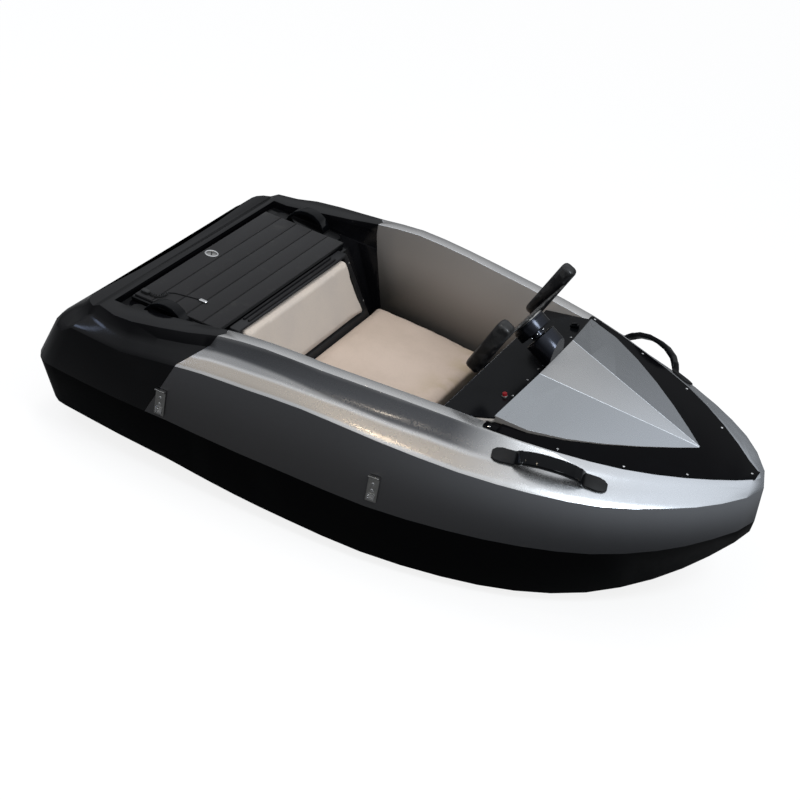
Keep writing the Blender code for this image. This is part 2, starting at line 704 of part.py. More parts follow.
def build_foredeck():
    """Black panel that follows the deck, and the faceted hood on it."""
    bm = bmesh.new()
    rings = []
    for x in deck_places(PANEL_AFT_X, PANEL_TIP_X):
        half = max(line_at("sheer", x)[0] - PANEL_INSET, PANEL_TIP_HALF)
        low = deck_z(x) + FACE_GAP
        high = panel_top(x)
        rings.append([(x, -half, low), (x, half, low), (x, half, high), (x, -half, high)])
    loft_rings(bm, rings)
    add_mesh("foredeck_panel", bm, "panel_black")

    # The hood's aft edge sweeps back over the dash on both sides
    bm = bmesh.new()
    rings = []
    tip_z = deck_z(HOOD_TIP_X) + HOOD_TIP_RISE
    for x in deck_places(HOOD_AFT_X, HOOD_TIP_X):
        t = (x - HOOD_AFT_X) / (HOOD_TIP_X - HOOD_AFT_X)
        base = panel_top(x) + FACE_GAP
        half = hood_half(x)
        ridge_half = HOOD_RIDGE_HALF * (1 - t) + HOOD_EDGE
        rim = base + HOOD_RIM * (1 - t) ** 2 + HOOD_EDGE
        ridge = max(HOOD_RIDGE_Z + (tip_z - HOOD_RIDGE_Z) * t, rim + HOOD_EDGE / 2)
        mid = ridge_half + (half - ridge_half) * HOOD_MID
        mid_z = ridge + (rim - ridge) * HOOD_MID
        rim_x, mid_x = (HOOD_RIM_X, HOOD_MID_X) if t == 0 else (x, x)
        mid_z += HOOD_FALL * (x - mid_x)
        rim += HOOD_FALL * (x - rim_x)
        foot = panel_top(rim_x) + FACE_GAP
        port = [(x, ridge_half, base), (rim_x, half, foot), (rim_x, half, rim), (mid_x, mid, mid_z),
                (x, ridge_half, ridge)]
        rings.append([(px, -y, z) for px, y, z in reversed(port)] + port)
    made = loft_rings(bm, rings, close_ends=False)
    for ring in (made[0], made[-1]):
        bm.faces.new((ring[0], ring[4], ring[5], ring[9]))
        for ridge_top, swept, corner, low_corner, low in (ring[:5], ring[:4:-1]):
            bm.faces.new((ridge_top, swept, low))
            bm.faces.new((swept, corner, low_corner, low))
    hood = add_mesh("hood", bm, "silver_paint")
    start_x = DASH_FOOT[0]
    end_x = PANEL_AFT_X
    deep_z = DASH_FOOT[1] - HOOD_UNDER
    under = [
        (start_x, -CUT_HALF, dash_plane_z(start_x) + HOOD_OVER_DASH),
        (end_x, -CUT_HALF, dash_plane_z(end_x) + HOOD_OVER_DASH),
        (end_x, -CUT_HALF, deep_z),
        (start_x, -CUT_HALF, deep_z),
    ]
    cut(hood, add_prism("cut_under_hood", under, (0, 2 * CUT_HALF, 0), None))


def hood_half(x):
    """Half-width of the hood at its foot."""
    t = (x - HOOD_AFT_X) / (HOOD_TIP_X - HOOD_AFT_X)
    return HOOD_HALF * (1 - min(max(t, 0.0), 1.0) ** HOOD_CURVE) + HOOD_TIP_HALF


def panel_top(x):
    """Height of the foredeck panel where the hood stands on it."""
    return deck_z(x) + FACE_GAP + PANEL_THICK


def deck_places(start, end):
    """X of each of the deck's own sections between start and end, with both ends."""
    inside = [p[0] for p in LINES["sheer"] if start + SECTION_MIN < p[0] < end - SECTION_MIN and p[1] > 0]
    return [start, *inside, end]


def dash_plane_z(x):
    """Height of the sloping dash at x."""
    slope = (DASH_HEAD[1] - DASH_FOOT[1]) / (DASH_HEAD[0] - DASH_FOOT[0])
    return DASH_FOOT[1] + slope * (x - DASH_FOOT[0])


def build_dash():
    """Silver console across the cockpit with a black panel on its slope."""
    front_x = WELL_FRONT_X - FACE_GAP
    under_z = deck_z(WELL_FRONT_X) - DECK_SKIN
    outline = [
        (DASH_FOOT[0], -CUT_HALF, DASH_FOOT[1] - DASH_LIP),
        (DASH_FOOT[0], -CUT_HALF, DASH_FOOT[1]),
        (front_x, -CUT_HALF, dash_plane_z(front_x)),
        (front_x, -CUT_HALF, under_z),
        (front_x - DASH_KNEE, -CUT_HALF, under_z),
    ]
    console = add_prism("dash_console", outline, (0, 2 * CUT_HALF, 0), "silver_paint")
    rings = []
    low_z = under_z - DASH_SPARE
    high_z = dash_plane_z(front_x) + DASH_SPARE
    for x in (DASH_FOOT[0] - PAST, WELL_ROWS_X[-1], WELL_FRONT_X):
        low = well_half(x, low_z) - FACE_GAP
        high = well_half(x, high_z) - FACE_GAP
        rings.append([(x, -low, low_z), (x, low, low_z), (x, high, high_z), (x, -high, high_z)])
    bm = bmesh.new()
    loft_rings(bm, rings)
    boolean(console, add_mesh("cut_dash_walls", bm, None), "INTERSECT")

    # Panel outline on the slope, from the foot up to the hood
    slope = math.atan2(DASH_HEAD[1] - DASH_FOOT[1], DASH_HEAD[0] - DASH_FOOT[0])
    normal = Vector((-math.sin(slope), 0, math.cos(slope)))
    head_x = WELL_FRONT_X - DASH_PANEL_EDGE
    plan = [
        (DASH_FOOT[0] + DASH_FOOT_EDGE, rim_half(DASH_FOOT[0]) - DASH_PANEL_CLEAR),
        (head_x, rim_half(head_x) - DASH_PANEL_CLEAR),
    ]
    plan = [(x, -y) for x, y in reversed(plan)] + plan
    lift = normal * FACE_GAP
    outline = [(x + lift.x, y, dash_plane_z(x) + lift.z) for x, y in plan]
    add_prism("dash_panel", outline, normal * DASH_PANEL_THICK, "carbon_sheet")
    return normal


def column_frame():
    """Matrix at the wheel centre: local Z towards the driver, local Y up in the wheel, local X to starboard."""
    towards = Vector((-math.cos(COLUMN_RISE), 0, math.sin(COLUMN_RISE)))
    up = Vector((math.sin(COLUMN_RISE), 0, math.cos(COLUMN_RISE)))
    side = up.cross(towards)
    place = Matrix((side, up, towards)).transposed().to_4x4()
    return Matrix.Translation(WHEEL_CENTRE) @ place


def build_helm(dash_normal):
    """Fixed boss on the dash, then hub, plate and grips that turn on the column."""
    frame = column_frame()
    boss_top = -(PLATE_THICK / 2 + FACE_GAP + HUB_LENGTH + HUB_NECK_LENGTH + BOSS_GAP)
    boss = add_cylinder(
        "helm_boss", frame @ Vector((0, 0, boss_top - BOSS_LENGTH)), frame @ Vector((0, 0, boss_top)),
        BOSS_RADIUS, "black_metal", 40,
    )
    ahead_x = HOOD_AFT_X - BOSS_HOOD_GAP
    foot = Vector((DASH_FOOT[0], 0, DASH_FOOT[1])) + dash_normal * (DASH_PANEL_THICK + 2 * FACE_GAP)
    along = Vector((dash_normal.z, 0, -dash_normal.x))
    behind = foot - along * HELM_CUT_DEEP
    ahead = foot + along * HELM_CUT_DEEP
    below = [
        behind + Vector((0, -HELM_CUT_HALF, 0)),
        ahead + Vector((0, -HELM_CUT_HALF, 0)),
        ahead + Vector((0, -HELM_CUT_HALF, -HELM_CUT_DEEP)),
        behind + Vector((0, -HELM_CUT_HALF, -HELM_CUT_DEEP)),
    ]
    cut(boss, add_prism("cut_under_dash", below, (0, 2 * HELM_CUT_HALF, 0), None))
    cut(boss, add_box(
        "cut_ahead_dash", (ahead_x, -HELM_CUT_HALF, WHEEL_CENTRE[2] - HELM_CUT_DEEP),
        (ahead_x + HELM_CUT_DEEP, HELM_CUT_HALF, WHEEL_CENTRE[2] + HELM_CUT_DEEP), None,
    ))

    hub = bmesh.new()
    hub_top = -(PLATE_THICK / 2 + FACE_GAP)
    add_cone(hub, frame @ Vector((0, 0, hub_top - HUB_LENGTH)), frame @ Vector((0, 0, hub_top)),
             HUB_RADIUS, HUB_RADIUS, 40)
    hub_obj = add_mesh("wheel_hub", hub, "black_metal", math.radians(40))
    neck = add_cylinder(
        "add_hub_neck", frame @ Vector((0, 0, hub_top - HUB_LENGTH - HUB_NECK_LENGTH)),
        frame @ Vector((0, 0, hub_top - HUB_LENGTH / 2)), HUB_NECK_RADIUS, None, 24,
    )
    boolean(hub_obj, neck, "UNION")
    bevel(hub_obj, 0.0015, 1)

    # Plate outline in the wheel's own plane: half-span, upper edge and lower edge
    outline_rows = (
        (0.000, 0.046, -0.052), (0.052, 0.044, -0.050), (0.085, 0.020, -0.030),
        (0.140, 0.030, -0.026), (0.185, 0.046, -0.030), (PLATE_SPAN, 0.046, -0.040),
    )
    top_side = [(u, up) for u, up, _ in outline_rows]
    low_side = [(u, low) for u, _, low in outline_rows]
    loop = low_side + top_side[::-1]
    loop += [(-u, v) for u, v in top_side[1:]] + [(-u, v) for u, v in low_side[:0:-1]]
    outline = [frame @ Vector((u, v, -PLATE_THICK / 2)) for u, v in loop]
    shift = frame.to_3x3() @ Vector((0, 0, PLATE_THICK))
    plate = add_prism("wheel_plate", outline, shift, "carbon_sheet")

    for side, sign in (("port", -1), ("starboard", 1)):
        middle = Vector((sign * GRIP_AT[0], GRIP_AT[1], GRIP_AT[2]))
        turned = Matrix.Rotation(-sign * GRIP_SWEEP, 4, "Z") @ Matrix.Rotation(GRIP_LEAN, 4, "X")
        half = Vector(GRIP_SIZE) / 2
        bm = box_bmesh(-half, half)
        bmesh.ops.transform(bm, matrix=frame @ Matrix.Translation(middle) @ turned, verts=bm.verts)
        grip = add_mesh("grip_" + side, bm, "black_rubber", math.radians(40))
        bevel(grip, GRIP_ROUND, 3)
        slot = bmesh.new()
        outline = [frame @ Vector((u, v, -PLATE_THICK / 2 - FACE_GAP)) for u, v in grown(loop, FACE_GAP)]
        extrude_outline(slot, outline, frame.to_3x3() @ Vector((0, 0, PLATE_THICK + 2 * FACE_GAP)))
        cut(grip, add_mesh("cut_grip_" + side, slot, None))
    return frame


def grown(loop, by):
    """Move each point of an outline away from the middle by a small distance."""
    result = []
    for u, v in loop:
        result.append((u + math.copysign(by, u) if u else u, v + math.copysign(by, v)))
    return result


def seat_slab(name, front_foot_x, back_foot_x, low_z, high_z, half_low, half_high, slot):
    """A slab that leans back with the seat and narrows towards its top."""
    bm = bmesh.new()
    rings = []
    for z, half in ((low_z, half_low), (high_z, half_high)):
        front = recline_x(front_foot_x, z)
        back = recline_x(back_foot_x, z)
        rings.append([(back, -half, z), (front, -half, z), (front, half, z), (back, half, z)])
    loft_rings(bm, rings)
    return add_mesh(name, bm, slot)


def build_seat():
    """Backrest frame with its pad, and the floor cushion."""
    taper = (PAD_HALF_FOOT - PAD_HALF_TOP) / (PAD_TOP_Z - PAD_FOOT_Z)
    frame_low = SEAT_FLOOR_Z + FACE_GAP
    frame_front = PAD_FOOT_X - PAD_RIM_DEPTH
    frame_back = PAD_FOOT_X + PAD_RIM_DEPTH - FRAME_DEPTH
    rim_low = PAD_HALF_FOOT + taper * (PAD_FOOT_Z - frame_low) + FRAME_RIM
    rim_high = PAD_HALF_TOP - taper * (FRAME_TOP_Z - PAD_TOP_Z) + FRAME_RIM
    frame = seat_slab("seat_frame", frame_front, frame_back, frame_low, FRAME_TOP_Z, rim_low, rim_high,
                      "dark_plastic")
    pad_low = CUSHION_TOP_Z + PAD_CLEAR
    half_low = PAD_HALF_FOOT + taper * (PAD_FOOT_Z - pad_low)
    pad_back = PAD_FOOT_X - PAD_DEPTH
    pad_front = PAD_FOOT_X
    pocket = seat_slab(
        "cut_pad", pad_front + CUT_DEEP, pad_back - FACE_GAP,
        pad_low - FACE_GAP * 2, PAD_TOP_Z + FACE_GAP * 2,
        half_low + FACE_GAP * 2, PAD_HALF_TOP + FACE_GAP * 2, None,
    )
    cut(frame, pocket)
    pad = seat_slab("backrest_pad", pad_front, pad_back, pad_low, PAD_TOP_Z, half_low, PAD_HALF_TOP,
                    "cream_vinyl")
    bevel(pad, PAD_ROUND, 2)

    bm = bmesh.new()
    rings = []
    low = SEAT_FLOOR_Z + FACE_GAP
    aft_low = recline_x(frame_front, low) + CUSHION_AFT_CLEAR
    aft_high = recline_x(frame_front, CUSHION_TOP_Z) + CUSHION_AFT_CLEAR
    ends = [(aft_low, aft_high)] + [(x, x) for x in (*WELL_ROWS_X[:2], CUSHION_FRONT_X)]
    for low_x, high_x in ends:
        half = well_half(low_x, low) - CUSHION_CLEARANCE
        rings.append([
            (low_x, -half, low), (low_x, half, low),
            (high_x, half, CUSHION_TOP_Z), (high_x, -half, CUSHION_TOP_Z),
        ])
    loft_rings(bm, rings)
    cushion = add_mesh("floor_cushion", bm, "tan_vinyl")
    bevel(cushion, CUSHION_ROUND, 2)


def build_hatch():
    """Lid, grooved foam mat and flush latch; they lift together about the lid's front edge."""
    lid_low = RECESS_Z + FACE_GAP
    lid_high = RECESS_Z + HATCH_THICK
    lid = add_box("hatch_lid", (HATCH_AFT_X, -HATCH_HALF, lid_low), (HATCH_FRONT_X, HATCH_HALF, lid_high),
                  "gloss_black")
    bevel(lid, LID_ROUND, 1)
    mat_low = lid_high + FACE_GAP
    mat_high = lid_high + MAT_THICK
    mat = add_box("hatch_mat", (MAT_AFT_X, -MAT_HALF, mat_low), (MAT_FRONT_X, MAT_HALF, mat_high),
                  "deck_foam")
    pitch = (MAT_FRONT_X - MAT_AFT_X) / (MAT_GROOVES + 1)
    grooves = bmesh.new()
    for k in range(MAT_GROOVES):
        x = MAT_AFT_X + pitch * (k + 1)
        bmesh.ops.create_cube(
            grooves, size=1.0,
            matrix=Matrix.Translation((x, 0, mat_high)) @ Matrix.Diagonal(
                (GROOVE_WIDTH, 2 * (MAT_HALF + PAST), 2 * GROOVE_DEPTH, 1.0)),
        )
    cut(mat, add_mesh("cut_grooves", grooves, None))
    hole = add_cylinder("cut_latch", (LATCH_X, 0, mat_low - PAST), (LATCH_X, 0, mat_high + PAST),
                        LATCH_RADIUS + FACE_GAP, None, 32)
    cut(mat, hole)
    add_cylinder("hatch_latch", (LATCH_X, 0, mat_low), (LATCH_X, 0, mat_high + LATCH_PROUD), LATCH_RADIUS,
                 "stainless", 32)


def arch_handle(name, aft, front, rise, lean, floor_at, slot):
    """A moulded strap handle: flat pads at both ends and an arch that stands square to its floor."""
    aft = Vector((*aft, 0))
    front = Vector((*front, 0))
    along = front - aft
    across = Vector((-along.y, along.x, 0)).normalized()
    # share of the length, share of the rise, share of the width, thickness
    half_profile = (
        (0.00, 0.0, 0.45, 0.006), (0.03, 0.0, 0.85, 0.006),
        (0.08, 0.0, 1.0, 0.007), (0.19, 0.0, 0.95, 0.008),
        (0.235, 0.30, 0.92, 0.013), (0.30, 0.68, 0.90, 0.014), (0.40, 0.94, 0.90, 0.014),
    )
    mirrored = tuple((1 - share, *rest) for share, *rest in reversed(half_profile))
    rings = []
    for share, lift, width, thick in (*half_profile, (0.50, 1.0, 0.90, 0.014), *mirrored):
        spot = aft + along * share
        floor = Vector((spot.x, spot.y, floor_at(spot.x, spot.y)))
        edge = spot + across * PAST
        tangent = (Vector((edge.x, edge.y, floor_at(edge.x, edge.y))) - floor).normalized()
        normal = along.cross(tangent).normalized()
        half = tangent * (HANDLE_STRAP / 2 * width)
        floor += tangent * math.copysign(lean * rise * lift, tangent.y * floor.y)
        foot = FACE_GAP + rise * lift
        rings.append([
            floor + side * half + normal * (foot + level)
            for side, level in ((-1, 0), (1, 0), (1, thick), (-1, thick))
        ])
    bm = bmesh.new()
    loft_rings(bm, rings)
    return add_mesh(name, bm, slot, math.radians(30))


def shoulder_z(x, y):
    """Height of the shoulder at x and y, from the hull's own faces between sheer and knuckle."""
    y = abs(y)
    chain = []
    for line in [LINES["sheer"], *[shoulder_line(*row) for row in SHOULDER_LINES], LINES["knuckle"]]:
        points = [p for p in line if p[1] > 0]
        for a, b in zip(points, points[1:]):
            if a[0] <= x <= b[0] and b[0] > a[0]:
                t = (x - a[0]) / (b[0] - a[0])
                chain.append((a[1] + (b[1] - a[1]) * t, a[2] + (b[2] - a[2]) * t))
                break
    best = chain[0][1]
    for (y0, z0), (y1, z1) in zip(chain, chain[1:]):
        if y0 <= y <= y1:
            best = z0 + (z1 - z0) * (y - y0) / (y1 - y0)
    return best


def build_handles():
    for side, sign in (("port", 1), ("starboard", -1)):
        aft = (STERN_HANDLE_AFT[0], sign * STERN_HANDLE_AFT[1])
        front = (STERN_HANDLE_FRONT[0], sign * STERN_HANDLE_FRONT[1])
        arch_handle("stern_handle_" + side, aft, front, STERN_HANDLE_RISE, 0.0, lambda x, y: RECESS_Z,
                    "black_rubber")
        aft = (BOW_HANDLE_AFT[0], sign * BOW_HANDLE_AFT[1])
        front = (BOW_HANDLE_FRONT[0], sign * BOW_HANDLE_FRONT[1])
        arch_handle("bow_handle_" + side, aft, front, BOW_HANDLE_RISE, BOW_HANDLE_LEAN,
                    lambda x, y: shoulder_z(x, y) + HANDLE_LIFT, "black_rubber")


def side_half(x, z):
    """Half-breadth of the hull's side between paint line and knuckle."""
    knuckle_y, knuckle_z = line_at("knuckle", x)
    paint_y, paint_z = line_at("paint", x)
    return paint_y + (knuckle_y - paint_y) * (z - paint_z) / (knuckle_z - paint_z)


def build_brackets():
    """Stainless plates that follow the side, each with a small lip at its top."""
    lip_z = BRACKET_HEIGHT + BRACKET_THICK
    profile = (
        # out from the side, up from the lower edge
        (0.0, 0.0), (BRACKET_THICK, 0.0), (BRACKET_THICK, BRACKET_HEIGHT - BRACKET_LIP / 2),
        (BRACKET_LIP, BRACKET_HEIGHT), (BRACKET_LIP, lip_z), (0.0, lip_z),
    )
    for side, sign in (("port", 1), ("starboard", -1)):
        for place, middle, low in BRACKETS:
            rings = []
            for x in (middle - BRACKET_WIDTH / 2, middle + BRACKET_WIDTH / 2):
                rings.append([
                    (x, sign * (side_half(x, low + up) + SIDE_GAP + out), low + up) for out, up in profile
                ])
            bm = bmesh.new()
            loft_rings(bm, rings)
            add_mesh("bracket_" + side + "_" + place, bm, "stainless")


def build_switches(dash_normal):
    for name, (x, y), radius, height, slot in SWITCHES:
        foot = Vector((x, y, dash_plane_z(x))) + dash_normal * (DASH_PANEL_THICK + 2 * FACE_GAP)
        add_cylinder(name, foot, foot + dash_normal * height, radius, slot, 20,
                     radius * SWITCH_TAPER)


def build_drive():
    """Jet drive: motor and battery in the bay, impeller in its housing, steering nozzle and intake bars."""
    battery_low = BAY_FLOOR_Z + FACE_GAP
    add_box(
        "battery_block",
        (BATTERY_X - BATTERY_SIZE[0] / 2, BATTERY_Y - BATTERY_SIZE[1] / 2, battery_low),
        (BATTERY_X + BATTERY_SIZE[0] / 2, BATTERY_Y + BATTERY_SIZE[1] / 2, battery_low + BATTERY_SIZE[2]),
        "dark_plastic",
    )
    motor = add_box(
        "motor_block", (MOTOR_AFT_X, -MOTOR_RADIUS, SUMP_FLOOR_Z + FACE_GAP),
        (MOTOR_FRONT_X, MOTOR_RADIUS, SHAFT_Z + MOTOR_RADIUS), "cast_aluminium",
    )
    cut(motor, add_cylinder("cut_motor_shaft", (MOTOR_AFT_X - PAST, 0, SHAFT_Z),
                            (MOTOR_AFT_X + MOTOR_SOCKET, 0, SHAFT_Z), SHAFT_RADIUS + RUN_GAP, None, 16))

    outer = JET_BORE - FACE_GAP
    inner = JET_BORE - PUMP_WALL
    flange_face = POCKET_FRONT_X - FACE_GAP
    housing = add_cylinder("pump_housing", (PUMP_FRONT_X, 0, SHAFT_Z),
                           (flange_face - PUMP_FLANGE_THICK, 0, SHAFT_Z), outer, "cast_aluminium", 32)
    flange = add_cylinder("add_flange", (flange_face, 0, SHAFT_Z), (flange_face - PUMP_FLANGE_THICK, 0, SHAFT_Z),
                          PUMP_FLANGE_RADIUS, None, 32)
    boolean(housing, flange, "UNION")
    ear_x = NOZZLE_PIVOT_X
    ear_low = NOZZLE_RADIUS + EAR_CLEAR
    for tag, sign in (("top", 1), ("low", -1)):
        ear_z = SHAFT_Z + sign * (ear_low + EAR_THICK / 2)
        ear = add_box(
            "add_ear_" + tag, (ear_x - EAR_PAST, -EAR_HALF, ear_z - EAR_THICK / 2),
            (flange_face - PUMP_FLANGE_THICK / 2, EAR_HALF, ear_z + EAR_THICK / 2), None,
        )
        boolean(housing, ear, "UNION")
    cut(housing, add_cylinder("cut_pump", (PUMP_FRONT_X + PAST, 0, SHAFT_Z), (flange_face - CUT_DEEP, 0, SHAFT_Z),
                              inner, None, 32))

    hub_aft = IMPELLER_X - IMPELLER_LENGTH / 2
    hub_front = IMPELLER_X + IMPELLER_LENGTH / 2
    impeller = add_cylinder("impeller", (hub_aft, 0, SHAFT_Z), (hub_front, 0, SHAFT_Z), IMPELLER_HUB,
                            "cast_aluminium", 24)
    shaft = add_cylinder("add_shaft", (hub_front - PAST, 0, SHAFT_Z),
                         (MOTOR_AFT_X + MOTOR_SOCKET - SHAFT_END_GAP, 0, SHAFT_Z), SHAFT_RADIUS, None, 16)
    boolean(impeller, shaft, "UNION")
    tip = inner - 2 * RUN_GAP
    root = IMPELLER_HUB * BLADE_ROOT
    for k in range(IMPELLER_BLADES):
        around = Matrix.Rotation(2 * math.pi * k / IMPELLER_BLADES, 4, "X")
        bm = bmesh.new()
        rings = []
        for share in (0.0, 0.5, 1.0):
            radius = root + (tip - root) * share
            pitch = BLADE_TWIST * (0.7 + 0.5 * share)
            ring = []
            for chord, side in ((-1, -1), (1, -1), (1, 1), (-1, 1)):
                along = chord * CHORD_HALF * math.cos(pitch) - side * BLADE_HALF_THICK * math.sin(pitch)
                across = chord * CHORD_HALF * math.sin(pitch) + side * BLADE_HALF_THICK * math.cos(pitch)
                height = math.sqrt(max(radius ** 2 - across ** 2, 0.0))
                ring.append(Vector((along, across, height)))
            rings.append([Matrix.Translation((IMPELLER_X, 0, SHAFT_Z)) @ around @ p for p in ring])
        loft_rings(bm, rings)
        boolean(impeller, add_mesh(f"add_blade_{k}", bm, None), "UNION")

    nozzle_front = flange_face - PUMP_FLANGE_THICK - NOZZLE_GAP
    nozzle = add_cylinder("steering_nozzle", (nozzle_front, 0, SHAFT_Z), (NOZZLE_END_X, 0, SHAFT_Z),
                          NOZZLE_RADIUS, "cast_aluminium", 32, NOZZLE_END_RADIUS)
    pivot_high = ear_low - PIVOT_GAP
    pivot = add_cylinder("add_pivots", (ear_x, 0, SHAFT_Z - pivot_high), (ear_x, 0, SHAFT_Z + pivot_high),
                         PIVOT_RADIUS, None, 20)
    boolean(nozzle, pivot, "UNION")
    cut(nozzle, add_cylinder(
        "cut_nozzle", (nozzle_front + PAST, 0, SHAFT_Z), (NOZZLE_END_X - PAST, 0, SHAFT_Z),
        NOZZLE_RADIUS - NOZZLE_WALL + BORE_SPARE, None, 32, NOZZLE_END_RADIUS - NOZZLE_WALL - BORE_SPARE,
    ))

    bm = bmesh.new()
    for k in range(GRILLE_BARS):
        y = INTAKE_HALF * (2 * (k + 0.5) / GRILLE_BARS - 1)
        add_cone(bm, (INTAKE_AFT_X + FACE_GAP, y, GRILLE_Z), (INTAKE_FRONT_X - FACE_GAP, y, GRILLE_Z),
                 GRILLE_BAR_RADIUS, GRILLE_BAR_RADIUS, 8)
    grille = add_mesh("intake_grille", bm, "stainless")
    tie_x = (INTAKE_AFT_X + INTAKE_FRONT_X) / 2
    tie = add_box("add_tie", (tie_x - TIE_HALF, -INTAKE_HALF + FACE_GAP, GRILLE_Z - TIE_HALF_THICK),
                  (tie_x + TIE_HALF, INTAKE_HALF - FACE_GAP, GRILLE_Z + TIE_HALF_THICK), None)
    boolean(grille, tie, "UNION")

    transom_x = LINE_ENDS["chine"].aft_x + (LINE_ENDS["paint"].aft_x - LINE_ENDS["chine"].aft_x) * (
        DRAIN_Z - LINE_ENDS["chine"].aft_z) / (LINE_ENDS["paint"].aft_z - LINE_ENDS["chine"].aft_z)
    slope = math.atan2(LINE_ENDS["chine"].aft_x - LINE_ENDS["paint"].aft_x,
                       LINE_ENDS["paint"].aft_z - LINE_ENDS["chine"].aft_z)
    outward = Vector((-math.cos(slope), 0, -math.sin(slope)))
    seat = Vector((transom_x, DRAIN_Y, DRAIN_Z)) + outward * DRAIN_GAP
    add_cylinder("drain_plug", seat, seat + outward * DRAIN_LENGTH, DRAIN_RADIUS, "dark_plastic", 24,
                 DRAIN_RADIUS * DRAIN_TAPER)


def cord_tube(name, route, radius, slot, points):
    """A cord as a poly curve with a round bevel along a smooth route."""
    chain = [Vector(p) for p in route]
    padded = [2 * chain[0] - chain[1], *chain, 2 * chain[-1] - chain[-2]]
    steps = max(1, round(points / (len(chain) - 1)))
    smooth = smooth_chain([tuple(p) for p in padded], steps)
    curve = bpy.data.curves.new(name, "CURVE")
    curve.dimensions = "3D"
    curve.bevel_depth = radius
    curve.bevel_resolution = 2
    curve.use_fill_caps = True
    spline = curve.splines.new("POLY")
    spline.points.add(len(smooth) - 1)
    for point, place in zip(spline.points, smooth):
        point.co = (*place, 1.0)
    obj = bpy.data.objects.new(name, curve)
    curve.materials.append(MATERIALS[slot])
    PARTS.objects.link(obj)
    return obj


def build_lanyard():
    """Kill-switch lanyard on the mat: clip, curly stretch, thin wrist loop and hook."""
    coil_z = LANYARD_Z + COIL_RADIUS + FACE_GAP
    cord_z = LANYARD_Z + CORD_RADIUS + FACE_GAP
    low_z = LANYARD_Z + FACE_GAP

    def place(x, y, z):
        return (MAT_AFT_X + x, y - MAT_HALF, z)

    low, high = CLIP_BOX
    clip = add_box("lanyard_clip", place(*low, low_z), place(*high, low_z + CLIP_HIGH), "dark_plastic")
    bevel(clip, CLIP_ROUND, 1)
    coil = [place(x, y, coil_z) for x, y in COIL_ROUTE]
    cord_tube("lanyard_coil", coil, COIL_RADIUS, "dark_plastic", 16)
    cord = [place(x, y, coil_z) for x, y in CORD_STARTS]
    cord += [place(x, y, cord_z + rise) for x, y, rise in LOOP_ROUTE]
    cord_tube("lanyard_cord", cord, CORD_RADIUS, "dark_plastic", 24)
    low, high = HOOK_BOX
    hook = add_box("lanyard_hook", place(*low, low_z), place(*high, low_z + HOOK_HIGH), "stainless")
    bevel(hook, HOOK_ROUND, 1)


def set_origin(names, place):
    """Move the objects' origin to a joint axis and leave their shape where it is."""
    place = Vector(place)
    for name in names:
        obj = bpy.data.objects[name]
        if obj.type == "MESH":
            obj.data.transform(Matrix.Translation(-place))
        else:
            for spline in obj.data.splines:
                for point in spline.points:
                    point.co = (*(Vector(point.co[:3]) - place), 1.0)
        obj.location = place


def main():
    build_hull()
    build_topsides()
    build_foredeck()
    dash_normal = build_dash()
    build_helm(dash_normal)
    build_seat()
    build_hatch()
    build_handles()
    build_brackets()
    build_switches(dash_normal)
    build_drive()
    build_lanyard()
    hatch_axis = (HATCH_FRONT_X, 0.0, RECESS_Z + HATCH_THICK + MAT_THICK)
    set_origin(("hatch_lid", "hatch_mat", "hatch_latch", "lanyard_clip", "lanyard_coil", "lanyard_cord",
                "lanyard_hook"), hatch_axis)
    set_origin(("wheel_hub", "wheel_plate", "grip_port", "grip_starboard"), WHEEL_CENTRE)
    set_origin(("steering_nozzle",), (NOZZLE_PIVOT_X, 0.0, SHAFT_Z))
    set_origin(("impeller",), (IMPELLER_X, 0.0, SHAFT_Z))


main()
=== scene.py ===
import math

import bmesh
import bpy
from mathutils import Matrix, Vector
from mathutils.bvhtree import BVHTree


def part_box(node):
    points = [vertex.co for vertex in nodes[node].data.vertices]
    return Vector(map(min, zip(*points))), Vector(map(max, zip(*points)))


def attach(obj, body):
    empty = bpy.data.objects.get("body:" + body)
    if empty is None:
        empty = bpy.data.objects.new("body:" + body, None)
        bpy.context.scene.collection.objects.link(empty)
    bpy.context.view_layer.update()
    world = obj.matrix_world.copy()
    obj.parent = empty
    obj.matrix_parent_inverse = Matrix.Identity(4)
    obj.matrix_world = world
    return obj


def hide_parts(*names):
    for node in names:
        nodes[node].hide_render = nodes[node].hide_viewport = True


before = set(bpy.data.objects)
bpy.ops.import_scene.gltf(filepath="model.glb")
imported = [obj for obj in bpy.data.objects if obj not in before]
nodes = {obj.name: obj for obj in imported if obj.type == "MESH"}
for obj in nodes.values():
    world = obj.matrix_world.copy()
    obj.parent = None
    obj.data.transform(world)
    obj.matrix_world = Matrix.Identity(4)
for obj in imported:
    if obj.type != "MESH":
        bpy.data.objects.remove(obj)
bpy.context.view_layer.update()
print("frame loaded:", len(nodes), "pieces")


# Camera

camera = {
    "place": (1.48337, -4.18065, 2.86886),
    "azimuth": 20.437,  # degrees; 0 looks along +Y
    "elevation": 30.862,
    "roll": 12.178,
    "lens": 82.80,  # mm
    "sensor": 36.0,
    "clip": (0.1, 60.0),
}


def newObject(name, data):
    made = bpy.data.objects.new(name, data)
    bpy.context.scene.collection.objects.link(made)
    return made


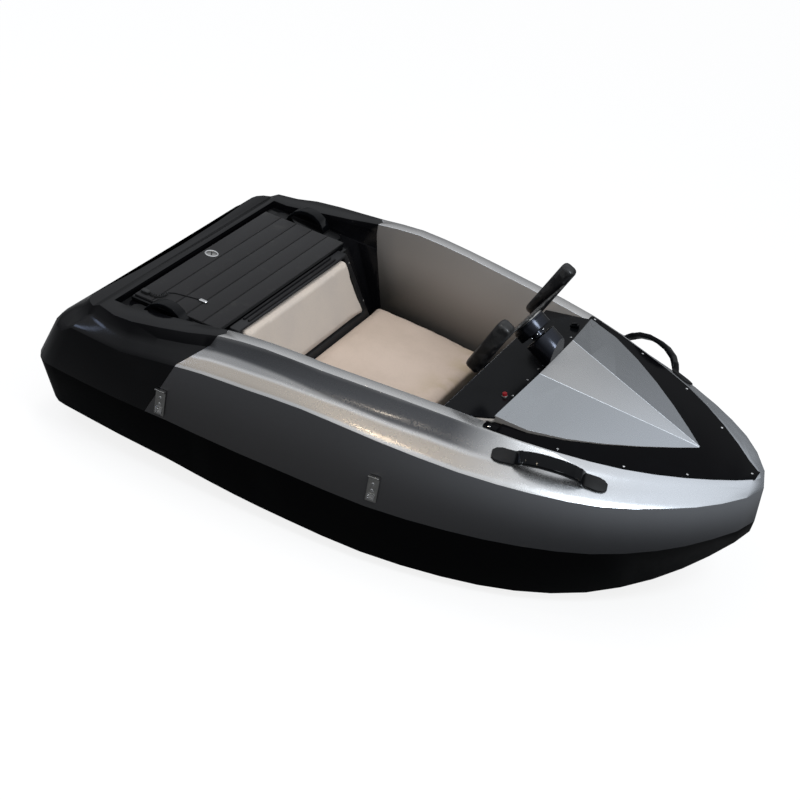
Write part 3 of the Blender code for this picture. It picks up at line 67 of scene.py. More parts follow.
def makeCamera():
    azimuth, elevation, roll = (math.radians(camera[key]) for key in ("azimuth", "elevation", "roll"))
    right = Vector((math.cos(azimuth), math.sin(azimuth), 0))
    back = Vector((
        math.sin(azimuth) * math.cos(elevation), -math.cos(azimuth) * math.cos(elevation), math.sin(elevation),
    ))
    up = back.cross(right)
    across = math.cos(roll) * right + math.sin(roll) * up
    upright = math.cos(roll) * up - math.sin(roll) * right
    turn = Matrix((across, upright, back)).transposed().to_4x4()
    data = bpy.data.cameras.new("photoCamera")
    data.lens = camera["lens"]
    data.sensor_width = camera["sensor"]
    data.clip_start, data.clip_end = camera["clip"]
    eye = newObject("photoCamera", data)
    eye.matrix_world = Matrix.Translation(camera["place"]) @ turn
    bpy.context.scene.camera = eye


makeCamera()


# Making and placing pieces

weld = {  # points nearer than this become one
    "cad": 0.00002,
    "lathe": 0.000005,
    "cut": 0.00001,
}


finishes = {}  # materials by name, filled from the recipes below


def addPiece(name, bm, looks, replaces=(), smooth=None, body="hull"):
    bmesh.ops.recalc_face_normals(bm, faces=bm.faces)
    return addMesh(name, bm, looks, replaces, smooth, body)


def addMesh(name, bm, looks, replaces=(), smooth=None, body="hull"):  # looks: a finish or several
    mesh = bpy.data.meshes.new(name)
    bm.to_mesh(mesh)
    bm.free()
    piece = newObject(name, mesh)
    for look in [looks] if isinstance(looks, str) else looks:
        mesh.materials.append(finishes[look])
    if smooth is not None:
        mesh.shade_smooth()
        mesh.set_sharp_from_angle(angle=math.radians(smooth))
    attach(piece, body)
    if replaces:
        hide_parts(*replaces)
    return piece


def cadCopy(node, flat=0.6):  # merged copy of a CAD node, its flat faces made whole
    bm = bmesh.new()
    bm.from_mesh(nodes[node].data)
    bmesh.ops.remove_doubles(bm, verts=bm.verts, dist=weld["cad"])
    bmesh.ops.dissolve_limit(bm, angle_limit=math.radians(flat), verts=bm.verts, edges=bm.edges)
    return bm


def bevelled(bm, edges, width, segments, material=-1):
    bmesh.ops.bevel(
        bm, geom=edges, offset=width, offset_type="OFFSET", segments=segments, profile=0.5, affect="EDGES",
        clamp_overlap=True, material=material,
    )


def roundEdges(bm, width, angle=30.0, segments=2, where=None, material=-1):
    edges = [
        edge for edge in bm.edges
        if len(edge.link_faces) == 2 and edge.calc_face_angle(0.0) > math.radians(angle)
        and (where is None or where(edge))
    ]
    if edges:
        bevelled(bm, edges, width, segments, material)


def addModifier(piece, kind, **settings):
    modifier = piece.modifiers.new(kind.lower(), kind)
    for key, value in settings.items():
        setattr(modifier, key, value)
    return modifier


def merged(parts):  # one bmesh out of several
    bm = bmesh.new()
    for part in parts:
        mesh = bpy.data.meshes.new("part")
        part.to_mesh(mesh)
        part.free()
        bm.from_mesh(mesh)
        bpy.data.meshes.remove(mesh)
    return bm


def lathe(profile, place=None, steps=32):  # profile is (radius, height), turned about local Z
    bm = bmesh.new()
    verts = [bm.verts.new((radius, 0, height)) for radius, height in profile]
    edges = [bm.edges.new(pair) for pair in zip(verts, verts[1:])]
    bmesh.ops.spin(
        bm, geom=verts + edges, cent=(0, 0, 0), axis=(0, 0, 1), dvec=(0, 0, 0), angle=math.tau,
        steps=steps, use_merge=True,
    )
    bmesh.ops.remove_doubles(bm, verts=bm.verts, dist=weld["lathe"])
    bmesh.ops.recalc_face_normals(bm, faces=bm.faces)
    if place is not None:
        bm.transform(place)
    return bm


def block(size, place=None, width=0.0, segments=2):  # box with rounded edges
    bm = bmesh.new()
    bmesh.ops.create_cube(bm, size=1.0)
    bmesh.ops.scale(bm, vec=size, verts=bm.verts)
    if width:
        bevelled(bm, bm.edges[:], width, segments)
    if place is not None:
        bm.transform(place)
    return bm


def cutAway(bm, point, heading, clear=True):  # cut by a plane; with clear, what its heading points to goes
    bmesh.ops.bisect_plane(
        bm, geom=bm.verts[:] + bm.edges[:] + bm.faces[:], dist=weld["cut"], plane_co=point, plane_no=heading,
        clear_outer=clear,
    )
    if clear:
        bmesh.ops.holes_fill(bm, edges=[edge for edge in bm.edges if edge.is_boundary], sides=0)


def extruded(bm, faces):  # the points of the new end
    made = bmesh.ops.extrude_face_region(bm, geom=faces)
    return [item for item in made["geom"] if isinstance(item, bmesh.types.BMVert)]


def standing(point, normal):  # matrix at a point with its Z along a normal
    return Matrix.Translation(point) @ Vector(normal).to_track_quat("Z", "Y").to_matrix().to_4x4()


# Shader maths

class Wire:  # a shader socket that takes plain arithmetic
    def __init__(self, paint, socket):
        self.paint = paint
        self.socket = socket

    def sum(self, operation, a, b):
        return self.paint.node("Math", {0: a, 1: b}, operation=operation)

    def __add__(self, other):
        return self.sum("ADD", self, other)

    def __radd__(self, other):
        return self.sum("ADD", other, self)

    def __sub__(self, other):
        return self.sum("SUBTRACT", self, other)

    def __rsub__(self, other):
        return self.sum("SUBTRACT", other, self)

    def __mul__(self, other):
        return self.sum("MULTIPLY", self, other)

    def __rmul__(self, other):
        return self.sum("MULTIPLY", other, self)

    def __pow__(self, other):
        return self.sum("POWER", self, other)


class Paint:  # a material and the nodes that vary it
    def __init__(self, name, **plain):
        self.material = bpy.data.materials.new(name)
        self.material.use_nodes = True
        self.tree = self.material.node_tree
        self.shader = self.tree.nodes["Principled BSDF"]
        self.where = self.node("TexCoord", out="Object")
        for key, value in plain.items():
            self.put(key, value)

    def put(self, key, value):  # baseColor goes to the socket Base Color
        name = "".join(" " + letter if letter.isupper() else letter for letter in key).title()
        name = {"Specular": "Specular IOR Level"}.get(name, name)
        self.plug(self.shader.inputs[name], value)

    def plug(self, socket, value):
        if isinstance(value, Wire):
            self.tree.links.new(value.socket, socket)
        elif socket.type == "RGBA" and len(value) == 3:
            socket.default_value = (*value, 1.0)
        else:
            socket.default_value = value

    def node(self, kind, sockets=None, out=0, stops=None, **settings):
        made = self.tree.nodes.new("ShaderNode" + kind)
        for key, value in settings.items():
            setattr(made, key, value)
        if stops:
            ramp = made.color_ramp
            while len(ramp.elements) < len(stops):
                ramp.elements.new(0.5)
            for element, (place, colour) in zip(ramp.elements, stops):
                element.position = place
                element.color = (*colour, 1.0)
        for key, value in (sockets or {}).items():
            self.plug(made.inputs[key], value)
        return Wire(self, made.outputs[out])

    def noise(self, scale, detail=3.0, rough=0.5, where=None):
        return self.node("TexNoise", {
            "Vector": where or self.where, "Scale": scale, "Detail": detail, "Roughness": rough,
        })

    def axis(self, name, vector=None):  # X, Y or Z, of the object's own place where no vector is given
        return self.node("SeparateXYZ", {"Vector": vector or self.where}, out=name)

    def span(self, value, low, high, first=0.0, last=1.0):
        return self.node("MapRange", {
            "Value": value, "From Min": low, "From Max": high, "To Min": first, "To Max": last,
        }, interpolation_type="SMOOTHSTEP")

    def mix(self, a, b, factor):
        return self.node("Mix", {0: factor, 6: a, 7: b}, out=2, data_type="RGBA")

    def stretched(self, x, y, z):  # the object's place, scaled along its axes
        return self.node("Mapping", {"Vector": self.where, "Scale": (x, y, z)})

    def chips(self, scale, *stretch):  # a value that is plain within each cell
        cells = self.node("TexVoronoi", {"Vector": self.stretched(*stretch), "Scale": scale}, out="Color")
        return self.axis("X", cells)

    def finish(self, colour, rough, height, strength, distance):  # the last three are the bump's
        bump = self.node("Bump", {"Height": height, "Strength": strength, "Distance": distance})
        self.put("baseColor", colour)
        self.put("roughness", rough)
        self.put("normal", bump)
        return self.material


flakeScale = 2600.0
peelScale = 240.0
# painted reflections on the silver shoulder: a dark band below the gunwale and a warm band above the knuckle
silver = {
    "flake": (0.66, 0.66, 0.66),
    "hollow": (0.040, 0.042, 0.047),  # painted dark reflection: a band on the shoulder below the gunwale
    "warm": (0.38, 0.335, 0.285),  # painted reflection of warm light, a band above the knuckle
    "hollowLow": (0.46, 0.58),  # shares of the way up from the knuckle
    "hollowEnd": (1.10, 0.95),
    "hollowFront": (0.42, 0.22),  # places along the hull
    "deepAlong": (-0.40, 0.05),  # the painted dark band's darker half starts lower towards the bow
    "deepFrom": (0.70, 0.50),
    "deepRise": 0.12,
    "warmFoot": (0.04, 0.10),
    "warmTop": (0.48, 0.38),
    "warmFront": (0.50, 0.20),
}


def silverFinish(name, tone, lighter, bow):
    paint = Paint(name, metallic=0.85, coatWeight=0.2, coatRoughness=0.08)
    cloud = paint.noise(3.0, 2.0)
    flake = paint.noise(flakeScale, 1.0)
    along = paint.axis("X")
    across = paint.axis("Y", paint.node("TexCoord", out="UV"))
    base = paint.mix(tone, lighter, paint.span(cloud, 0.3, 0.7))
    # lighter and bluer towards the bow: a painted highlight
    base = paint.mix(base, bow, paint.span(along, 0.35, 0.80))
    # painted dark reflection on the shoulder below the gunwale
    deep = paint.span(along, *silver["deepAlong"], *silver["deepFrom"])
    hollow = (0.5 * paint.span(across, *silver["hollowLow"])
              + 0.45 * paint.span(across, deep, deep + silver["deepRise"]))
    hollow = hollow * paint.span(across, *silver["hollowEnd"]) * paint.span(along, *silver["hollowFront"])
    base = paint.mix(base, silver["hollow"], hollow)
    # painted warm reflection above the knuckle
    warm = paint.span(across, *silver["warmFoot"]) * paint.span(across, *silver["warmTop"])
    base = paint.mix(base, silver["warm"], warm * paint.span(along, *silver["warmFront"]) * 0.9)
    peel = paint.noise(peelScale, 1.0)
    return paint.finish(
        paint.mix(base, silver["flake"], paint.span(flake, 0.60, 0.78, 0.0, 0.12)),
        0.22 + 0.10 * paint.noise(40.0, 4.0), peel * 0.8 + flake * 0.2, 0.03, 0.0006,
    )


def flaked(paint, tone, bright, rough):  # a duller paint with the same flakes
    flake = paint.noise(flakeScale, 1.0)
    return paint.finish(
        paint.mix(tone, bright, paint.span(flake, 0.62, 0.8, 0.0, 0.3)),
        rough + 0.08 * paint.noise(30.0, 4.0), paint.noise(peelScale, 1.0), 0.05, 0.0006,
    )


def sideFinish(name):
    paint = Paint(name, metallic=0.7, coatWeight=0.1, coatRoughness=0.1, specular=0.2)
    # graphite two-tone paint, made lighter towards the knuckle and the bow as a painted reflection
    height = paint.span(paint.axis("Z"), 0.20, 0.40)
    ahead = paint.span(paint.axis("X"), -0.1, 0.95)
    low = paint.mix((0.100, 0.098, 0.100), (0.075, 0.077, 0.083), ahead)
    high = paint.mix((0.125, 0.125, 0.130), (0.34, 0.35, 0.37), ahead)
    tone = paint.mix(low, high, height ** 1.6)
    return flaked(paint, tone, (0.45, 0.45, 0.46), 0.36)


def wallFinish(name):
    paint = Paint(name, metallic=0.5, specular=0.3)
    # darker lower down and further aft: painted shade in the cockpit
    ahead = paint.span(paint.axis("X"), -0.45, 0.10)
    height = paint.span(paint.axis("Z"), 0.22, 0.42)
    tone = paint.mix((0.028, 0.027, 0.025), (0.36, 0.335, 0.31), ahead * 0.35 + height * 0.65)
    return flaked(paint, tone, (0.5, 0.48, 0.45), 0.42)


def blackFinish(name, tone, dust, rough, spread, specular):
    paint = Paint(name, specular=specular)
    cloud = paint.noise(7.0, 5.0, 0.6)
    specks = paint.noise(900.0, 2.0)
    film = paint.span(cloud, 0.45, 0.75)
    powder = paint.span(specks, 0.60, 0.74) * film
    base = paint.mix(tone, dust, film * 0.35)
    return paint.finish(
        paint.mix(base, tuple(3 * part for part in dust), powder * 0.5),
        rough + spread * paint.noise(22.0, 6.0, 0.65), paint.noise(160.0, 1.0), 0.06, 0.0008,
    )


foamGroove = (0.4094, 0.4105)  # heights between which the grooves turn dark


def foamFinish(name):
    paint = Paint(name, sheenWeight=0.08, sheenRoughness=0.6, specular=0.12)
    grain = paint.noise(1400.0, 3.0, 0.7)
    brushed = paint.noise(1.0, 4.0, 0.6, paint.stretched(60.0, 900.0, 60.0))
    scuff = paint.span(paint.noise(14.0, 6.0, 0.7), 0.56, 0.74)
    tone = paint.mix((0.009, 0.009, 0.009), (0.021, 0.020, 0.021), paint.span(grain, 0.3, 0.7))
    tone = paint.mix(tone, (0.040, 0.039, 0.036), scuff * 0.5)
    groove = paint.span(paint.axis("Z"), *foamGroove)
    return paint.finish(
        paint.mix((0.004, 0.004, 0.004), tone, groove),
        0.78 + 0.12 * grain, grain * 0.6 + brushed * 0.4, 0.35, 0.0006,
    )


def vinylFinish(name, tone, shade, stain, stainMask):
    paint = Paint(name, specular=0.35, sheenWeight=0.08, sheenRoughness=0.5)
    grain = paint.node("TexVoronoi", {"Vector": paint.where, "Scale": 420.0}, feature="SMOOTH_F1")
    fine = paint.noise(1500.0, 2.0)
    cloud = paint.noise(5.0, 4.0, 0.6)
    base = paint.mix(tone, shade, paint.span(cloud, 0.35, 0.72))
    base = paint.mix(base, tuple(0.8 * part for part in shade), paint.span(grain, 0.35, 0.8, 0.0, 0.25))
    return paint.finish(
        paint.mix(base, stain, stainMask(paint)),
        0.50 + 0.14 * paint.noise(60.0, 3.0), grain * 0.7 + fine * 0.3, 0.22, 0.0009,
    )


def rubberFinish(name):
    paint = Paint(name, specular=0.25)
    grain = paint.noise(700.0, 2.0)
    worn = paint.span(paint.noise(18.0, 5.0, 0.7), 0.55, 0.75)
    return paint.finish(
        paint.mix((0.0040, 0.0040, 0.0045), (0.012, 0.012, 0.013), worn),
        0.42 + 0.22 * grain, grain, 0.12, 0.0005,
    )


def carbonFinish(name):
    paint = Paint(name, specular=0.3, coatWeight=0.25, coatRoughness=0.08)
    chip = paint.chips(95.0, 1.0, 2.2, 1.4)
    tone = paint.mix((0.006, 0.006, 0.006), (0.055, 0.054, 0.052), paint.span(chip, 0.35, 1.0))
    return paint.finish(tone, 0.20 + 0.25 * chip, chip, 0.10, 0.0004)


def metalFinish(name, tone, rough, lines, metallic):
    paint = Paint(name, metallic=metallic)
    brushed = paint.noise(1.0, 3.0, 0.6, paint.stretched(*lines))
    smear = paint.noise(25.0, 4.0)
    darker = tuple(0.72 * part for part in tone)
    return paint.finish(
        paint.mix(tone, darker, paint.span(brushed, 0.3, 0.8)),
        rough + 0.12 * brushed + 0.08 * smear, brushed, 0.06, 0.0003,
    )


def gripFinish(name):
    paint = Paint(name, specular=0.35, coatWeight=0.3, coatRoughness=0.12)
    chip = paint.chips(75.0, 1.0, 1.6, 1.0)
    vein = paint.span(paint.noise(28.0, 8.0, 0.75), 0.57, 0.66)
    tone = paint.mix((0.0035, 0.0035, 0.0040), (0.016, 0.016, 0.016), paint.span(chip, 0.5, 1.0))
    return paint.finish(
        paint.mix(tone, (0.045, 0.044, 0.042), vein * chip),
        0.30 + 0.25 * chip, chip * 0.5 + vein * 0.5, 0.15, 0.0006,
    )


def castFinish(name):
    paint = Paint(name, metallic=0.9)
    pits = paint.noise(320.0, 4.0, 0.7)
    return paint.finish(
        paint.mix((0.42, 0.42, 0.43), (0.60, 0.60, 0.61), pits),
        0.42 + 0.2 * pits, pits, 0.35, 0.0008,
    )


def plasticFinish(name, tone, lighter, rough, grainScale, grainDepth):
    paint = Paint(name, specular=0.4)
    grain = paint.noise(grainScale, 2.0)
    worn = paint.span(paint.noise(20.0, 5.0, 0.7), 0.5, 0.8)
    return paint.finish(paint.mix(tone, lighter, worn), rough + 0.15 * grain, grain, 0.3, grainDepth)


def frontStain(paint):  # the cushion is yellowed along its front edge
    near = paint.span(paint.axis("X"), -0.09, 0.03)
    patch = paint.span(paint.noise(9.0, 5.0, 0.6), 0.40, 0.62)
    return near * patch * 0.75


def footStain(paint):  # faint grey rub along the foot of the backrest
    low = paint.span(paint.axis("Z"), 0.29, 0.24)
    patch = paint.span(paint.noise(11.0, 5.0, 0.6), 0.42, 0.65)
    return low * patch * 0.35


recipes = [
    # function, finish, material, then the function's own values in their order
    # the last tone of each silver is its painted highlight towards the bow
    (silverFinish, "silver", "metallicSilver", (0.46, 0.46, 0.46), (0.53, 0.52, 0.51), (0.64, 0.67, 0.71)),
    # the hood's outer facets: the same silver made darker, a painted shade
    (silverFinish, "facet", "facetSilver", (0.32, 0.335, 0.35), (0.36, 0.375, 0.39), (0.44, 0.465, 0.50)),
    (sideFinish, "side", "graphiteSide"),
    (wallFinish, "wall", "warmSilverWall"),
    (foamFinish, "foam", "charcoalFoam"),
    (rubberFinish, "rubber", "blackRubber"),
    (carbonFinish, "carbon", "forgedCarbon"),
    (gripFinish, "grip", "marbledGrip"),
    (castFinish, "cast", "castAluminium"),
    (blackFinish, "stern", "glossBlack", (0.0022, 0.0022, 0.0028), (0.006, 0.006, 0.007), 0.08, 0.12, 0.20),
    (blackFinish, "hull", "hullBlack", (0.0010, 0.0010, 0.0012), (0.002, 0.002, 0.002), 0.30, 0.15, 0.06),
    (blackFinish, "panel", "panelBlack", (0.0015, 0.0015, 0.002), (0.003, 0.003, 0.004), 0.08, 0.08, 0.03),
    (blackFinish, "dash", "dashBlack", (0.003, 0.0033, 0.004), (0.006, 0.006, 0.007), 0.16, 0.08, 0.05),
    (blackFinish, "blackGloss", "blackGloss", (0.002, 0.0023, 0.003), (0.004, 0.004, 0.005), 0.06, 0.04, 0.11),
    (vinylFinish, "sand", "sandVinyl", (0.565, 0.455, 0.375), (0.50, 0.40, 0.325), (0.43, 0.335, 0.215),
     frontStain),
    (vinylFinish, "greige", "greigeVinyl", (0.60, 0.525, 0.455), (0.55, 0.485, 0.43), (0.43, 0.39, 0.35),
     footStain),
    # bright bluish edge lines: a painted highlight on rounded edges
    (metalFinish, "edge", "litEdge", (0.86, 0.91, 0.97), 0.20, (60.0, 60.0, 60.0), 0.15),
    (metalFinish, "steel", "satinSteel", (0.40, 0.395, 0.38), 0.24, (700.0, 700.0, 40.0), 1.0),
    (metalFinish, "brightSteel", "brightSteel", (0.72, 0.72, 0.72), 0.12, (300.0, 300.0, 300.0), 1.0),
    (metalFinish, "anodised", "anodisedBlack", (0.034, 0.037, 0.046), 0.10, (400.0, 400.0, 400.0), 0.95),
    (plasticFinish, "frame", "frameBlack", (0.008, 0.008, 0.009), (0.016, 0.016, 0.016), 0.36, 900.0, 0.0004),
    (plasticFinish, "plastic", "darkPlastic", (0.014, 0.014, 0.014), (0.03, 0.03, 0.03), 0.40, 800.0, 0.0004),
    (plasticFinish, "red", "redPlastic", (0.24, 0.010, 0.014), (0.32, 0.02, 0.02), 0.30, 900.0, 0.0002),
]
for make, look, *values in recipes:
    finishes[look] = make(*values)
print("finishes made:", len(finishes))


# Hull shells: smooth copies of the CAD skins with rounded edges

shells = {
    # node: piece, finish, slot, edge radius, largest angle left sharp
    "lower_hull": ("hullShell", "hull", "hull_black", 0.004, 42.0),
    "stern_moulding": ("sternShell", "stern", "gloss_black", 0.009, 30.0),
    "foredeck_panel": ("foredeckPanel", "panel", "panel_black", 0.0010, 30.0),
    "seat_frame": ("seatFrame", "frame", "dark_plastic", 0.0020, 30.0),
}


def makeShells():
    for node, (name, finish, slot, radius, angle) in shells.items():
        bm = cadCopy(node)
        roundEdges(bm, radius, angle)
        addMesh(name, bm, finish, [node], smooth=30)


shoulder = [
    # along, half-breadth of the gunwale's outer edge, half-breadth of the knuckle
    (-0.506, 0.494, 0.553), (-0.420, 0.476, 0.552), (-0.290, 0.473, 0.550), (-0.128, 0.461, 0.544),
    (0.088, 0.430, 0.535), (0.304, 0.395, 0.502), (0.488, 0.340, 0.448), (0.572, 0.3078, 0.4161),
    (0.650, 0.270, 0.378), (0.723, 0.2226, 0.3295), (0.790, 0.171, 0.275), (0.849, 0.117, 0.2194),
    (0.898, 0.067, 0.157), (0.949, 0.0, 0.060), (0.965, -0.01, 0.0),
]
deckEdges = {
    "rounding": 0.0035,
    "inner": 0.0042,  # inner edge of the gunwale, given a painted highlight
    "shoulder": 0.97,  # greatest upward part of the normal on the shoulder
    "side": 0.28,  # on the side below the knuckle
    "wall": 0.5,  # on the inner wall
    "bow": 0.5,  # least forward part of the normal at the stem
}


def shareUp(place):  # 0 on the knuckle, 1 on the gunwale's outer edge
    for (x0, gunwale0, knuckle0), (x1, gunwale1, knuckle1) in zip(shoulder, shoulder[1:]):
        if place.x <= x1 or x1 == shoulder[-1][0]:
            t = min(max((place.x - x0) / (x1 - x0), 0.0), 1.0)
            gunwale = gunwale0 + (gunwale1 - gunwale0) * t
            knuckle = knuckle0 + (knuckle1 - knuckle0) * t
            return (knuckle - abs(place.y)) / (knuckle - gunwale)


def makeDeckShell():  # silver deck with painted reflections, graphite side below the knuckle, warm inner wall with painted shade, painted highlight on the inner gunwale edge
    bm = cadCopy("deck_moulding")
    layer = bm.loops.layers.uv.new("across")
    for face in bm.faces:
        normal = face.normal
        centre = face.calc_center_median()
        outward = normal.y * centre.y > 0 or normal.x > deckEdges["bow"]
        if abs(normal.z) < deckEdges["side"] and outward:
            face.material_index = 1
        elif abs(normal.z) < deckEdges["wall"] and not outward:
            face.material_index = 2
        elif outward and normal.z < deckEdges["shoulder"]:
            for loop in face.loops:
                loop[layer].uv = (loop.vert.co.x, shareUp(loop.vert.co))
    roundEdges(bm, deckEdges["inner"], 36.0, material=3,
               where=lambda edge: {face.material_index for face in edge.link_faces} == {0, 2})
    roundEdges(bm, deckEdges["rounding"], 42.0,
               where=lambda edge: 3 not in {face.material_index for face in edge.link_faces})
    addMesh("deckShell", bm, ["silver", "side", "wall", "edge"], ["deck_moulding"], smooth=44)


hood = {
    "aft": (0.3353, 0.118),  # where a ridge begins: along, half-width
    "tip": (0.772, 0.001),
    "ridge": 0.0045,
    "rim": 0.0022,
    "rimShortest": 0.004,  # edges below these lengths stay sharp
    "ridgeShortest": 0.01,
    "near": 0.0015,  # a point this near to the ridge's line is on it
    "outer": 0.002,  # a face this far outside it is an outer facet
    "facet": 0.6,  # least upward part of a facet's normal
    "wall": 0.3,  # greatest upward part of a wall's normal
    "corner": [(0.3118, 0.3402, 0.4873), (0.3357, 0.3350, 0.4836), (0.3357, 0.2915, 0.4914),
               (0.3133, 0.3205, 0.4906)],
    "cornerFoot": 0.4700,
}


def makeHoodShell():  # flat facets, the outer ones darker as painted shade, ridges and rim with a rounded edge in a painted highlight
    bm = cadCopy("hood", flat=1.0)
    aft, tip = Vector(hood["aft"]), Vector(hood["tip"])

    def beyondRidge(place):
        share = (place.x - aft.x) / (tip.x - aft.x)
        return abs(place.y) - (aft.y + (tip.y - aft.y) * share)

    def ups(edge):
        return [face.normal.z > hood["facet"] for face in edge.link_faces]

    ridges = [edge for edge in bm.edges if ups(edge) == [True, True]
              and all(abs(beyondRidge(vert.co)) < hood["near"] for vert in edge.verts)
              and abs(edge.verts[0].co.x - edge.verts[1].co.x) > hood["ridgeShortest"]]
    rims = [edge for edge in bm.edges if sorted(ups(edge)) == [False, True]
            and edge.calc_length() > hood["rimShortest"]]
    for face in bm.faces:
        # the outer facets take the darker silver as painted shade
        face.material_index = 2 if beyondRidge(face.calc_center_median()) > hood["outer"] else 0
        if abs(face.normal.z) < hood["wall"]:
            face.material_index = 3
    for edges, width in ((ridges, hood["ridge"]), (rims, hood["rim"])):
        bevelled(bm, [edge for edge in edges if edge.is_valid], width, 1, 1)
    addMesh("hoodShell", bm, ["silver", "edge", "facet", "wall"], ["hood"], smooth=7)


def makeHoodCorners():  # the low aft corners of the hood, down to the deck, in the darker silver of painted shade
    corners = []
    for side in (-1, 1):
        bm = bmesh.new()
        face = bm.faces.new([bm.verts.new((x, side * y, z)) for x, y, z in hood["corner"]])
        for vert in extruded(bm, [face]):
            vert.co.z = hood["cornerFoot"]
        corners.append(bm)
    piece = addPiece("hoodCorners", merged(corners), ["facet", "wall"])
    for polygon in piece.data.polygons:
        polygon.material_index = 1 if abs(polygon.normal.z) < hood["wall"] else 0


dash = {
    "endPoint": (0.3163, 0.3209, 0.0),  # both pieces end under the hood's swept edge
    "endHeading": (0.994, 0.108, 0.0),
    "consoleRound": 0.0015,
    "panelRound": 0.0010,
    "paintedHighlightFoot": 0.003,  # edges this near to the panel's foot get a painted highlight
}


def cutUnderHood(bm):
    x, y, z = dash["endPoint"]
    ahead, out, up = dash["endHeading"]
    for side in (-1, 1):
        cutAway(bm, (x, side * y, z), (ahead, side * out, up))


def makeDashConsole():
    bm = cadCopy("dash_console")
    cutUnderHood(bm)
    roundEdges(bm, dash["consoleRound"])
    # the console takes the wall's silver with its painted shade
    addMesh("dashConsole", bm, "wall", ["dash_console"], smooth=30)


def makeDashPanel():
    bm = cadCopy("dash_panel")
    cutUnderHood(bm)
    foot = min(vert.co.x for vert in bm.verts) + dash["paintedHighlightFoot"]
    roundEdges(bm, dash["panelRound"], material=1,
               where=lambda edge: max(vert.co.x for vert in edge.verts) < foot)
    roundEdges(bm, dash["panelRound"], 50.0, 1)
    addMesh("dashPanel", bm, ["dash", "edge"], ["dash_panel"], smooth=30)


makeShells()
makeDeckShell()
makeHoodShell()
makeHoodCorners()
makeDashConsole()
makeDashPanel()
print("shells made")


# Small fastenings

screwShape = {
    "radius": 0.0037,
    "height": 0.0014,
    "seat": 0.0006,  # how far a head sinks in
    "slot": 0.0007,
    "slotDeep": 0.0003,
    "turn": 0.4,  # of the cross slot, in radians
}
screwRadius = {"dash": 0.0034, "boss": 0.0036, "seat": 0.0032, "bracket": 0.0044}
tabScrew = (0.3140, 0.3737)
foredeckScrews = [(0.4872, 0.3195), (0.6480, 0.2513), (0.7898, 0.1465)]
bowScrew = (0.9244, 0.0011)
dashScrews = [(0.3025, 0.100), (0.3045, 0.205)]
rayStart = 2.0  # a height above the boat
rayShift = 0.0003  # a ray may slip through between two triangles


def panHead(place, radius, high):  # a domed head
    return lathe(
        [(0, high), (radius * 0.45, high * 0.95), (radius * 0.8, high * 0.65), (radius, 0.0002),
         (radius, -screwShape["seat"]), (0, -screwShape["seat"])], place, steps=18)


def slotMark(place, radius, high):  # the dark cross in a head
    bars = []
    for turn in (0, math.pi / 2):
        spot = Matrix.Rotation(screwShape["turn"] + turn, 4, "Z") @ Matrix.Translation((0, 0, high * 0.98))
        bars.append(block((radius * 1.1, screwShape["slot"], screwShape["slotDeep"]), place @ spot))
    return merged(bars)


def surfaceAlong(node, start, heading):  # where a ray meets a CAD node, and the normal there
    bm = bmesh.new()
    bm.from_mesh(nodes[node].data)
    bm.transform(nodes[node].matrix_world)
    tree = BVHTree.FromBMesh(bm)
    bm.free()
    for shift in (0.0, rayShift):
        point, normal, _, _ = tree.ray_cast(Vector(start) + Vector((shift, shift, 0)), Vector(heading))
        if point is not None:
            return point, normal
    print("ray missed", node, start)
    return point, normal


def surfaceUnder(node, x, y):
    return surfaceAlong(node, (x, y, rayStart), (0, 0, -1))


def pairsOn(node, points):  # places on both sides of the boat, standing on a node
    return [standing(*surfaceUnder(node, x, side * y)) for x, y in points for side in (-1, 1)]


def screws(name, places, radius=screwShape["radius"], finish="brightSteel"):
    high = screwShape["height"] * radius / screwShape["radius"]
    heads = merged([panHead(place, radius, high) for place in places])
    slots = merged([slotMark(place, radius, high) for place in places])
    addPiece(name, heads, finish, smooth=40)
    addPiece(name + "Slots", slots, "frame")


def makeDeckScrews():
    places = []
    for side in (-1, 1):
        point, normal = surfaceUnder("deck_moulding", tabScrew[0], side * tabScrew[1])
        places.append(standing(point + normal * panelTab["thick"], normal))
    places += pairsOn("foredeck_panel", foredeckScrews)
    places.append(standing(*surfaceUnder("foredeck_panel", *bowScrew)))
    screws("foredeckScrews", places)
    screws("dashScrews", pairsOn("dash_panel", dashScrews), screwRadius["dash"])


# Aft tabs of the foredeck panel over the gunwale

panelTab = {
    "thick": 0.0030,
    "aft": 0.2990,
    "front": 0.3353,
    "inner": 0.3460,
    "outerAft": 0.3860,
    "outerFront": 0.3797,
    "chamfer": 0.006,  # of the aft corners, along their edges
    "outerChamfer": 0.004,
    "inset": 0.002,  # the deck's height is read this far in from an edge
    "deckFrom": 0.358,  # and no nearer to the middle than this
    "gap": 0.0003,
    "round": 0.0008,
}


def makePanelTabs():
    tabs = []
    for side in (-1, 1):
        aft, front, low, high = (panelTab[key] for key in ("aft", "front", "inner", "outerAft"))
        cut = panelTab["chamfer"]
        outline = [
            (aft + cut, low), (front, low), (front, panelTab["outerFront"]),
            (aft + panelTab["outerChamfer"], high), (aft, high - cut), (aft, low + cut),
        ]
        bm = bmesh.new()
        corners = []
        for x, y in outline:
            inside = max(y - panelTab["inset"], panelTab["deckFrom"])
            point, _ = surfaceUnder("deck_moulding", x, side * inside)
            corners.append(bm.verts.new((x, side * y, point.z + panelTab["gap"])))
        tops = extruded(bm, [bm.faces.new(corners)])
        bmesh.ops.translate(bm, vec=(0, 0, panelTab["thick"]), verts=tops)
        roundEdges(bm, panelTab["round"], 50.0)
        tabs.append(bm)
    addPiece("foredeckTabs", merged(tabs), "panel", smooth=35)


makePanelTabs()
makeDeckScrews()
print("fastenings made")


# Seat: cloth-simulated cushion and backrest

seatPads = {
    # node: piece, finish, slot, voxel, pressure, swell cap, shrink, fill
    "floor_cushion": ("seatCushion", "sand", "tan_vinyl", 0.006, 4.0, 0.007, 0.002, 0.7),
    "backrest_pad": ("backrestPad", "greige", "cream_vinyl", 0.005, 4.0, 0.006, 0.002, 0.8),
}


swelling = {"quality": 4, "frames": 20}


